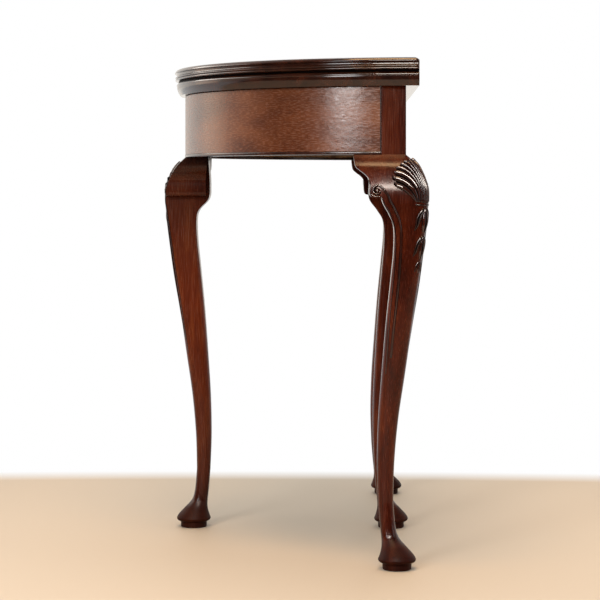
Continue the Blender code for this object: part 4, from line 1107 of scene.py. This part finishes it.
def screws(finishes):
    """Countersunk screws with slotted heads, each slot turned its own way."""
    names = sorted(part["node"] for part in frame["record"]["subparts"] if "_screw" in part["node"])
    for number, name in enumerate(names):
        low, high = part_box(name)
        middle = (low + high) / 2
        head, point = middle.copy(), middle.copy()
        axis = 2 if "block" in name else 1
        head[axis], point[axis] = low[axis], high[axis]
        if "butt" in name:
            head[axis], point[axis] = high[axis], low[axis]
        length = (point - head).length
        rows = (
            (0.0, SCREW_HEAD_RADIUS - SCREW_EASE), (SCREW_EASE / 3, SCREW_HEAD_RADIUS - SCREW_EASE / 3),
            (SCREW_EASE, SCREW_HEAD_RADIUS), (SCREW_HEAD_HEIGHT, SCREW_RADIUS),
            (length - SCREW_RADIUS * 2, SCREW_RADIUS), (length, SCREW_RADIUS / 3),
        )
        turn = (point - head).to_track_quat("Z", "Y").to_matrix().to_4x4()
        turn @= Matrix.Rotation(number * SLOT_TURN, 4, "Z")
        half = Vector((SCREW_HEAD_RADIUS + OVERRUN, SCREW_SLOT_WIDTH / 2, SCREW_SLOT_DEPTH))
        slot = block(head - half, head + half, turn)
        shape = combined(lathed(head, point, rows, segments=32), slot)
        metal = "brass" if "butt" in name else "iron"
        body = "top_leaf" if "upper" in name else "frame"
        piece(f"{name}_slotted", shape, finishes[metal], body, metal, [name])


def knuckle_outline(side, far_x):
    """Plan of a rail that ends in a knuckle: side is +1 where the rail runs towards +X."""
    start, end = -math.pi / 2, math.radians(KNUCKLE_ARC_END)
    points = [(far_x, GATE_AXIS_Y - SWING_HALF)]
    for step in range(KNUCKLE_STEPS + 1):
        angle = start + (end - start) * step / KNUCKLE_STEPS
        x = GATE_AXIS_X - side * SWING_HALF * math.cos(angle)
        points.append((x, GATE_AXIS_Y + SWING_HALF * math.sin(angle)))
    points.append((GATE_AXIS_X + side * (SWING_HALF + KNUCKLE_CLEARANCE), FRAME_HALF_DEPTH))
    points.append((far_x, FRAME_HALF_DEPTH))
    return points


def on_gate_axis(start, end):
    return [(GATE_AXIS_X, GATE_AXIS_Y, z) for z in (start, end)]


def knuckled_rails(finishes):
    """The swing rail and the fixed rail, whose fingers interlock round the gate's iron pin."""
    stile_x = -MIDDLE_STILE / 2
    tenon = block(
        (stile_x - OVERRUN, GATE_AXIS_Y - GATE_TENON_HALF, FRIEZE_MIDDLE_Z - TENON_HALF_HEIGHT),
        (stile_x + GATE_TENON_LENGTH, GATE_AXIS_Y + GATE_TENON_HALF, FRIEZE_MIDDLE_Z + TENON_HALF_HEIGHT),
    )
    for solid, body, side, far_x, first in (
        ("fixed_knuckle_rail", "frame", -1, SEAT_GAP - STILE_INNER_X, 1),
        ("gate_rail", "gate", 1, stile_x - SEAT_GAP, 0),
    ):
        low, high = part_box(solid)
        shape = prism(knuckle_outline(side, far_x), low.z, high.z)
        for finger in range(first, FINGER_COUNT, 2):
            start = FRAME_BOTTOM + FINGER_HEIGHT * finger - FINGER_GAP / 2
            end = start + FINGER_HEIGHT + FINGER_GAP
            start -= OVERRUN * 2 * (finger == 0)
            end += OVERRUN * (finger == FINGER_COUNT - 1)
            gap = lathed(*on_gate_axis(start, end), radius=SWING_HALF + KNUCKLE_CLEARANCE, segments=96)
            shape = combined(shape, gap)
        ends = on_gate_axis(low.z - OVERRUN, high.z + OVERRUN)
        shape = combined(shape, lathed(*ends, radius=GATE_PIN_RADIUS + SEAT_GAP))
        if body == "gate":
            shape = combined(shape, tenon, "UNION")
        piece(f"{solid}_knuckled", shape, finishes["oak"], body, "oak", [solid], eased=RAIL_EASE)
    low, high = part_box("gate_hinge_pin")
    rows = pin_rows(high.z - low.z, GATE_PIN_RADIUS)
    pin = lathed(*on_gate_axis(low.z, high.z), rows, segments=32)
    piece("gate_hinge_turned_pin", pin, finishes["iron"], "frame", "iron", ["gate_hinge_pin"])


def curved_core(finishes):
    """The frieze's core behind the veneer, with a tenon into each corner leg."""
    section = (
        (CORE_INNER_RADIUS, core_low.z), (CORE_OUTER_RADIUS, core_low.z),
        (CORE_OUTER_RADIUS, core_high.z), (CORE_INNER_RADIUS, core_high.z),
    )
    shape = swept_round(section, FRIEZE_END_ANGLE, CORE_SEGMENTS)
    start_y, end_y = STILE_FRONT_Y - OVERRUN, STILE_FRONT_Y + FRIEZE_TENON_LENGTH
    for side in (-1, 1):
        tenon_x = side * (CORNER_FACE_X - (CORE_INNER_DEPTH + CORE_OUTER_DEPTH) / 2)
        low = (tenon_x - TENON_HALF, start_y, FRIEZE_MIDDLE_Z - TENON_HALF_HEIGHT)
        high = (tenon_x + TENON_HALF, end_y, FRIEZE_MIDDLE_Z + TENON_HALF_HEIGHT)
        shape = combined(shape, block(low, high), "UNION")
    slot = material_slots["frieze_core"]
    piece("curved_core", shape, finishes[slot], "frame", slot, ["frieze_core"], eased=RAIL_EASE)


def squared_woodwork(finishes):
    """The flat rails and the screw blocks, which keep their solids' shapes with eased arrises."""
    for solid, slot in material_slots.items():
        flat = solid in ("inner_back_rail", "fixed_outer_rail", "medial_rail")
        if not flat and ("_block_" not in solid or "screw" in solid):
            continue
        shape = bmesh.new()
        shape.from_mesh(frame["nodes"][solid].data)
        bmesh.ops.remove_doubles(shape, verts=shape.verts, dist=MERGE)
        bmesh.ops.dissolve_limit(
            shape, angle_limit=math.radians(1), verts=shape.verts, edges=shape.edges
        )
        piece(f"{solid}_eased", shape, finishes[slot], "frame", slot, [solid], eased=BLOCK_EASE)


def frieze(finishes):
    """The veneer and the bead under it, both swept round the curve, and the upright end beads."""
    inner = FRIEZE_RADIUS - VENEER_THICKNESS
    section = (
        (inner, veneer_low.z), (FRIEZE_RADIUS, veneer_low.z), (FRIEZE_RADIUS, veneer_high.z - VENEER_ARRIS),
        (FRIEZE_RADIUS - VENEER_ARRIS, veneer_high.z), (inner, veneer_high.z),
    )
    shape = swept_round(section, FRIEZE_END_ANGLE, FRIEZE_SEGMENTS)
    layer = shape.loops.layers.uv.new("UVMap")
    for face in shape.faces:
        for loop in face.loops:
            x, y, z = loop.vert.co
            angle = math.atan2(x, ARC_CENTRE_Y - y)
            loop[layer].uv = (angle * FRIEZE_RADIUS, z)
    piece("curved_veneer", shape, finishes["veneer"], "frame", "frieze_veneer", ["frieze_veneer"])
    height = bead_high.z - bead_low.z
    nose = []
    for step in range(NOSE_STEPS + 1):
        angle = math.pi * step / NOSE_STEPS
        bulge = BEAD_BULGE * math.sin(angle)
        nose.append((FRIEZE_RADIUS + bulge, bead_low.z + height * (1 - math.cos(angle)) / 2))
    nose += [(CORE_INNER_RADIUS, bead_high.z), (CORE_INNER_RADIUS, bead_low.z)]
    shape = swept_round(nose, FRIEZE_END_ANGLE, FRIEZE_SEGMENTS)
    piece("round_bead", shape, finishes["bead"], "frame", "top_mahogany", ["frieze_bead"])
    shape = bmesh.new()
    tall = veneer_high.z - bead_high.z
    for side in (-1, 1):
        angle = side * (FRIEZE_END_ANGLE - END_BEAD_RADIUS / FRIEZE_RADIUS)
        x = FRIEZE_RADIUS * math.sin(angle)
        y = ARC_CENTRE_Y - FRIEZE_RADIUS * math.cos(angle)
        bmesh.ops.create_cone(
            shape,
            cap_ends=True,
            segments=20,
            radius1=END_BEAD_RADIUS,
            radius2=END_BEAD_RADIUS,
            depth=tall,
            matrix=Matrix.Translation((x, y, bead_high.z + tall / 2)),
        )
    piece("end_beads", shape, finishes["bead"], "frame", "top_mahogany")


def legs(finishes):
    """The four legs with the carving on their knees."""
    made = []
    for side, name in ((1, "right"), (-1, "left")):
        leg = CabrioleLeg(f"{name}_corner", "frame", side, 1, CORNER_STILE, at_corner=True)
        corner = (-CORNER_STILE, -CORNER_STILE)
        top = stile_rings(corner, (0.0, 0.0), FRAME_TOP, FRAME_BOTTOM + ARRIS_RADIUS)
        leg_body(leg, top, finishes["leg"], f"{name}_corner_leg")
        made.append(leg)
    half = MIDDLE_STILE / 2 - STILE_EASE
    leg = CabrioleLeg("front", "frame", 1, -1, MIDDLE_STILE, FRONT_GROWTH_SHARES)
    behind_core = math.sqrt(CORE_INNER_RADIUS**2 - (MIDDLE_STILE / 2) ** 2) - SEAT_GAP
    low, high = (-half, -MIDDLE_STILE), (half, behind_core - FRAME_HALF_DEPTH - ARC_CENTRE_Y)
    top = stile_rings(low, high, FRAME_TOP, FRAME_BOTTOM - SEAT_GAP)
    # The front leg takes the copy of the wood with painted light and shade
    leg_body(leg, top, finishes["lit_leg"], "front_leg")
    made.append(leg)
    leg = CabrioleLeg("gate", "gate", 1, 1, GATE_LEG_DEPTH)
    low, high = (-half, -SWING_RAIL_THICKNESS), (half, -STILE_EASE)
    top = stile_rings(low, high, gate_high.z, FRAME_BOTTOM - GATE_STILE_OVERLAP)
    leg_body(leg, top, finishes["leg"], "gate_leg")
    made.append(leg)
    for leg in made:
        shell(leg, finishes["carving"])
        husks(leg, finishes["carving"])
        scrolls(leg, finishes["carving"])
    return made


def fill(tree, made, inputs):
    """Links or sets the inputs of a shader node."""
    for name, value in inputs.items():
        if isinstance(value, bpy.types.NodeSocket):
            tree.links.new(value, made.inputs[name])
        else:
            made.inputs[name].default_value = value


def node(tree, kind, inputs=None, **settings):
    """Adds a shader node, sets it up and links or sets its inputs."""
    made = tree.nodes.new(kind)
    for key, value in settings.items():
        setattr(made, key, value)
    fill(tree, made, inputs or {})
    return made


def product(tree, first, second):
    return node(tree, "ShaderNodeMath", {0: first, 1: second}, operation="MULTIPLY").outputs[0]


def remapped(tree, value, low, high, to_low=0.0, to_high=1.0):
    """A value that runs from to_low to to_high while it goes from low to high."""
    inputs = {"Value": value, "From Min": low, "From Max": high, "To Min": to_low, "To Max": to_high}
    return node(tree, "ShaderNodeMapRange", inputs).outputs["Result"]


def ramp(tree, factor, stops):
    made = node(tree, "ShaderNodeValToRGB", {"Fac": factor})
    points = made.color_ramp.elements
    while len(points) < len(stops):
        points.new(0.5)
    for point, (position, colour) in zip(points, stops):
        point.position = position
        point.color = (*colour, 1.0)
    return made.outputs["Color"]


def mixed_colour(tree, kind, factor, first, second):
    """Two colours mixed: sockets 6 and 7 are the node's colours, and output 2 is its colour."""
    inputs = {0: factor, 6: first, 7: second}
    return node(tree, "ShaderNodeMix", inputs, data_type="RGBA", blend_type=kind).outputs[2]


def bumped(tree, height, strength):
    inputs = {"Height": height, "Strength": strength, "Distance": BUMP_DEPTH}
    return node(tree, "ShaderNodeBump", inputs).outputs["Normal"]


def new_material(name, source="Object"):
    """A material with its tree, its main shader and the coordinates it reads."""
    made = bpy.data.materials.new(name)
    made.use_nodes = True
    tree = made.node_tree
    place = node(tree, "ShaderNodeTexCoord").outputs[source]
    return made, tree, tree.nodes["Principled BSDF"], place


def polished_wood(
    name, dark, middle, light, along, roughness=(0.2, 0.34), figure=(6.0, 36.0), fibres=(30.0, 900.0),
    flecks=0.35, source="Object", gloss=0.35, carved=False, painted_tones=(), dull_z=0.0, ripple=0.0,
):
    """Wood with fibres along one axis, broad figure, dark pores and a polish.

    When carved is set, a vertex attribute paints shade into the hollows and takes their shine. The
    tones by height are painted light and shade, as factors on the colour; it is dull below dull_z,
    and ripple is how much the polish waves.
    """
    made, tree, shader, place = new_material(name, source)

    def stretched(length_scale, width_scale):
        scale = [width_scale] * 3
        scale[along] = length_scale
        inputs = {"Vector": place, "Scale": scale}
        return node(tree, "ShaderNodeMapping", inputs).outputs["Vector"]

    def noise(vector, detail, distortion=0.0):
        inputs = {"Vector": vector, "Scale": 1.0, "Detail": detail, "Distortion": distortion}
        return node(tree, "ShaderNodeTexNoise", inputs).outputs["Fac"]

    broad = noise(stretched(*figure), 3.0, 0.8)
    fibre = noise(stretched(*fibres), 4.0)
    pores = noise(stretched(fibres[0] * 3, fibres[1] * 1.9), 2.0)
    mixed = node(tree, "ShaderNodeMix", {"Factor": FIBRE_SHARE, "A": broad, "B": fibre})
    colour = ramp(tree, mixed.outputs["Result"], tuple(zip(FIGURE_STOPS, (dark, middle, light))))
    marks = ramp(tree, pores, tuple(zip(PORE_STOPS, ((1 - flecks,) * 3, (1.0,) * 3))))
    colour = mixed_colour(tree, "MULTIPLY", 1.0, colour, marks)
    height = node(tree, "ShaderNodeSeparateXYZ", {0: place}).outputs["Z"]
    # Painted light and shade by height, as factors on the colour
    if painted_tones:
        shades = ramp(tree, height, [(z, (tone,) * 3) for z, tone in painted_tones])
        colour = mixed_colour(tree, "MULTIPLY", 1.0, colour, shades)
    rough = remapped(tree, fibre, 0.3, 0.7, *roughness)
    shine = gloss
    if carved:
        # Painted shade: the attribute darkens the hollows towards black and takes their shine
        depth = node(tree, "ShaderNodeAttribute", attribute_name="recess").outputs["Fac"]
        shade_share = ramp(tree, depth, ((0.20, (0.0,) * 3), (0.75, (1.0,) * 3)))
        painted_shade_colour = [value * HOLLOW_SHADE_TONE for value in dark]
        colour = mixed_colour(tree, "MIX", shade_share, colour, (*painted_shade_colour, 1.0))
        rough = remapped(tree, depth, 0.1, 1.0, roughness[0], HOLLOW_ROUGHNESS)
        shine = remapped(tree, depth, 0.05, 0.75, gloss, HOLLOW_GLOSS)
    if dull_z:
        levels = (dull_z, dull_z * 0.7)
        dust = remapped(tree, height, *levels, 0.0, DULL_ROUGHNESS)
        rough = node(tree, "ShaderNodeMath", {0: rough, 1: dust}, operation="ADD").outputs[0]
        shine = remapped(tree, height, *levels, gloss, gloss * 0.3)
    waves = {0: noise(stretched(*WAVE_SCALES), 2.0), 1: ripple, 2: fibre}
    relief = node(tree, "ShaderNodeMath", waves, operation="MULTIPLY_ADD").outputs[0]
    fill(tree, shader, {
        "Base Color": colour,
        "Roughness": rough,
        "Specular IOR Level": shine,
        "Normal": bumped(tree, relief, 0.1),
    })
    return made


def plain_metal(name, colour, roughness):
    """Metal that is a little darker and rougher where it is worn."""
    made, tree, shader, place = new_material(name)
    wear = node(tree, "ShaderNodeTexNoise", {"Vector": place, "Scale": 320.0, "Detail": 4.0}).outputs["Fac"]
    fill(tree, shader, {
        "Base Color": ramp(tree, wear, ((0.3, [value * 0.78 for value in colour]), (0.65, colour))),
        "Metallic": 1.0,
        "Roughness": remapped(tree, wear, 0.0, 1.0, roughness, roughness + 0.2),
    })
    return made


def woollen_baize(name):
    """Green cloth with a fine nap, paler where play has worn it."""
    made, tree, shader, place = new_material(name)
    nap = node(tree, "ShaderNodeTexNoise", {"Vector": place, "Scale": 1400.0, "Detail": 3.0}).outputs["Fac"]
    worn = node(tree, "ShaderNodeTexNoise", {"Vector": place, "Scale": 9.0, "Detail": 3.0}).outputs["Fac"]
    mixed = node(tree, "ShaderNodeMix", {"Factor": 0.5, "A": nap, "B": worn}).outputs["Result"]
    fill(tree, shader, {
        "Base Color": ramp(tree, mixed, ((0.35, (0.009, 0.050, 0.022)), (0.62, (0.022, 0.100, 0.046)))),
        "Roughness": 0.95,
        "Sheen Weight": 0.3,
        "Normal": bumped(tree, nap, 0.3),
    })
    return made


def make_finishes():
    """Every finish by the name of its material slot or of its own pieces."""
    leg = ((0.026, 0.0028, 0.0005), (0.058, 0.0072, 0.0013), (0.108, 0.0185, 0.0038))
    # The front leg's wood: a lighter, browner copy of the legs', painted light where it stands lit
    lit_leg_colours = [
        (r * more, g * more * 1.25, b * more * 1.4) for (r, g, b), more in zip(leg, (2.4, 1.9, 1.45))
    ]
    # The carvings' wood: the legs' made darker, painted shade of their fine grooves
    groove_shaded_leg = [[value * 0.6 for value in tone] for tone in leg]
    # Painted light and shade by height on the front leg: darker under the frieze and at its foot, lightest
    # at mid height
    shaded = (
        (0.0, 0.2), (0.04, 0.24), (0.09, 0.55), (0.17, 0.68), (0.30, 0.88), (0.37, 1.0),
        (0.44, 0.76), (0.52, 0.46), (0.575, 0.42), (0.60, 0.12),
    )
    # Painted shade by height on the other legs and the carvings: darker at the feet and under the frieze
    shade_by_height = ((0.0, 0.36), (0.03, 0.42), (0.07, 0.85), (0.12, 1.0), (0.44, 1.0), (0.54, 0.72))
    return {
        "top": polished_wood(
            "dark_mahogany_top", (0.009, 0.0020, 0.0009), (0.020, 0.0050, 0.0021),
            (0.042, 0.0105, 0.0046), 0, (0.14, 0.2), gloss=0.45, carved=True,
        ),
        "bead": polished_wood(
            "dark_mahogany_bead", (0.010, 0.0026, 0.0014), (0.022, 0.006, 0.0034),
            (0.042, 0.012, 0.007), 0, (0.14, 0.24), gloss=0.5,
        ),
        "leg": polished_wood(
            "red_brown_mahogany", *leg, 2, (0.13, 0.30), gloss=0.21, painted_tones=shade_by_height, dull_z=0.046,
            ripple=3.0,
        ),
        "lit_leg": polished_wood(
            "lit_mahogany", *lit_leg_colours, 2, (0.16, 0.32), gloss=0.2, painted_tones=shaded, dull_z=0.046
        ),
        "carving": polished_wood(
            "waxed_carving", *groove_shaded_leg, 2, (0.10, 0.2), gloss=0.85, carved=True, painted_tones=shade_by_height
        ),
        "veneer": polished_wood(
            "orange_brown_veneer", (0.062, 0.0155, 0.0046), (0.114, 0.033, 0.0105),
            (0.168, 0.055, 0.019), 0, (0.13, 0.36), figure=(9.0, 22.0), fibres=(125.0, 620.0),
            flecks=0.5, source="UV", gloss=0.62, ripple=5.0,
        ),
        "oak": polished_wood(
            "oak_rail", (0.105, 0.056, 0.025), (0.19, 0.11, 0.054), (0.27, 0.17, 0.092),
            0, (0.55, 0.7), figure=(4.0, 70.0), fibres=(18.0, 1300.0), flecks=0.5,
        ),
        "pine": polished_wood(
            "pine_block", (0.30, 0.17, 0.075), (0.41, 0.26, 0.13), (0.50, 0.35, 0.19),
            0, (0.6, 0.75), flecks=0.1,
        ),
        "brass": plain_metal("aged_brass", (0.40, 0.26, 0.10), 0.3),
        "iron": plain_metal("dark_iron", (0.09, 0.085, 0.08), 0.45),
        "baize": woollen_baize("green_baize"),
    }


def camera():
    """A long lens level with the lower frieze, off the table's right-hand end."""
    data = bpy.data.cameras.new("camera")
    data.lens = CAMERA_LENS
    data.sensor_width = CAMERA_SENSOR
    data.shift_y = CAMERA_SHIFT
    data.clip_start = 0.05
    made = shown("camera", data)
    made.location = CAMERA_PLACE
    made.rotation_euler = (math.radians(90), 0.0, math.radians(90 + CAMERA_YAW))
    bpy.context.scene.camera = made


def soft_lamp(name, place, aim, size, power, colour, shown_in):
    """A square lamp that lights both the wood and its polish, or only one of them."""
    data = bpy.data.lights.new(name, "AREA")
    data.shape = "RECTANGLE"
    data.size, data.size_y = size
    data.energy = power
    data.color = colour
    made = shown(name, data)
    made.visible_diffuse = shown_in != "polish"
    made.visible_glossy = shown_in != "wood"
    made.location = place
    made.rotation_euler = (Vector(aim) - Vector(place)).to_track_quat("-Z", "Y").to_euler()


def mirrored_light(tree, place):
    """What the polish mirrors: a white room on the far side that is dim near the camera."""
    way = node(tree, "ShaderNodeSeparateXYZ", {0: place}).outputs
    share = remapped(tree, way["X"], -1.0, 1.0)
    stops = [
        (spot, [level / MIRRORED_STRENGTH * tint for tint in WARM_WHITE]) for spot, level in MIRRORED_LEVELS
    ]
    sides = ramp(tree, share, stops)
    under = remapped(tree, way["Z"], -0.01, -0.03, 0.0, 0.6)
    low = product(tree, under, remapped(tree, way["X"], -0.7, -0.9))
    return mixed_colour(tree, "MIX", low, sides, (*WARM_WHITE, 1.0))


def shown_to_rays(tree, plain, polish, white, share=None):
    """A plain look that polish sees as one and glass and camera as another, up to a share."""
    path = node(tree, "ShaderNodeLightPath").outputs
    for seen, look in (("Is Glossy Ray", polish), ("Is Transmission Ray", white), ("Is Camera Ray", white)):
        factor = path[seen] if share is None else product(tree, share, path[seen])
        mixer = {0: factor, 1: plain.outputs[0], 2: look.outputs[0]}
        plain = node(tree, "ShaderNodeMixShader", mixer)
    return plain.outputs[0]


def white_room():
    """The world: a dim light on the wood, a white backdrop, and a room that the polish mirrors."""
    world = bpy.data.worlds.new("studio")
    bpy.context.scene.world = world
    world.use_nodes = True
    tree = world.node_tree
    tree.nodes.clear()
    mirrored = mirrored_light(tree, node(tree, "ShaderNodeTexCoord").outputs["Object"])
    dim = node(tree, "ShaderNodeBackground", {"Color": WHITE, "Strength": ROOM_STRENGTH})
    polish = node(tree, "ShaderNodeBackground", {"Color": mirrored, "Strength": MIRRORED_STRENGTH})
    white = node(tree, "ShaderNodeBackground", {"Color": WHITE, "Strength": 1.0})
    node(tree, "ShaderNodeOutputWorld", {"Surface": shown_to_rays(tree, dim, polish, white)})


def pale_floor():
    """A plain floor that turns into the white backdrop away from the table."""
    shape = bmesh.new()
    bmesh.ops.create_grid(shape, x_segments=1, y_segments=1, size=FLOOR_HALF_SIZE)
    floor = shown("floor", finished_mesh("floor", shape))
    made, tree, shader, place = new_material("pale_floor")
    fill(tree, shader, {"Base Color": FLOOR_COLOUR, "Roughness": 0.6})
    inputs = {"Vector": place, "Location": FLOOR_OFFSET, "Scale": FLOOR_SPREAD}
    spread = node(tree, "ShaderNodeMapping", inputs).outputs["Vector"]
    distance = node(tree, "ShaderNodeVectorMath", {0: spread}, operation="LENGTH").outputs["Value"]
    fade = remapped(tree, distance, *FLOOR_FADE)
    white = node(tree, "ShaderNodeEmission", {"Color": WHITE, "Strength": 1.0})
    way = node(tree, "ShaderNodeSeparateXYZ", {0: place}).outputs["X"]
    mirrored = remapped(tree, way, *FLOOR_MIRRORED)
    polish = node(tree, "ShaderNodeEmission", {"Color": WHITE, "Strength": mirrored})
    surface = shown_to_rays(tree, shader, polish, white, fade)
    tree.links.new(surface, tree.nodes["Material Output"].inputs["Surface"])
    floor.data.materials.append(made)


def light_up():
    """The room, the floor and the lamps, shown with plain colours."""
    white_room()
    pale_floor()
    for lamp in LAMPS:
        soft_lamp(*lamp)
    bpy.context.scene.view_settings.view_transform = "Standard"


finishes = make_finishes()
leaves(finishes)
frieze(finishes)
knuckled_rails(finishes)
curved_core(finishes)
squared_woodwork(finishes)
butts(finishes["brass"])
screws(finishes)
brackets(legs(finishes), finishes)
camera()
light_up()
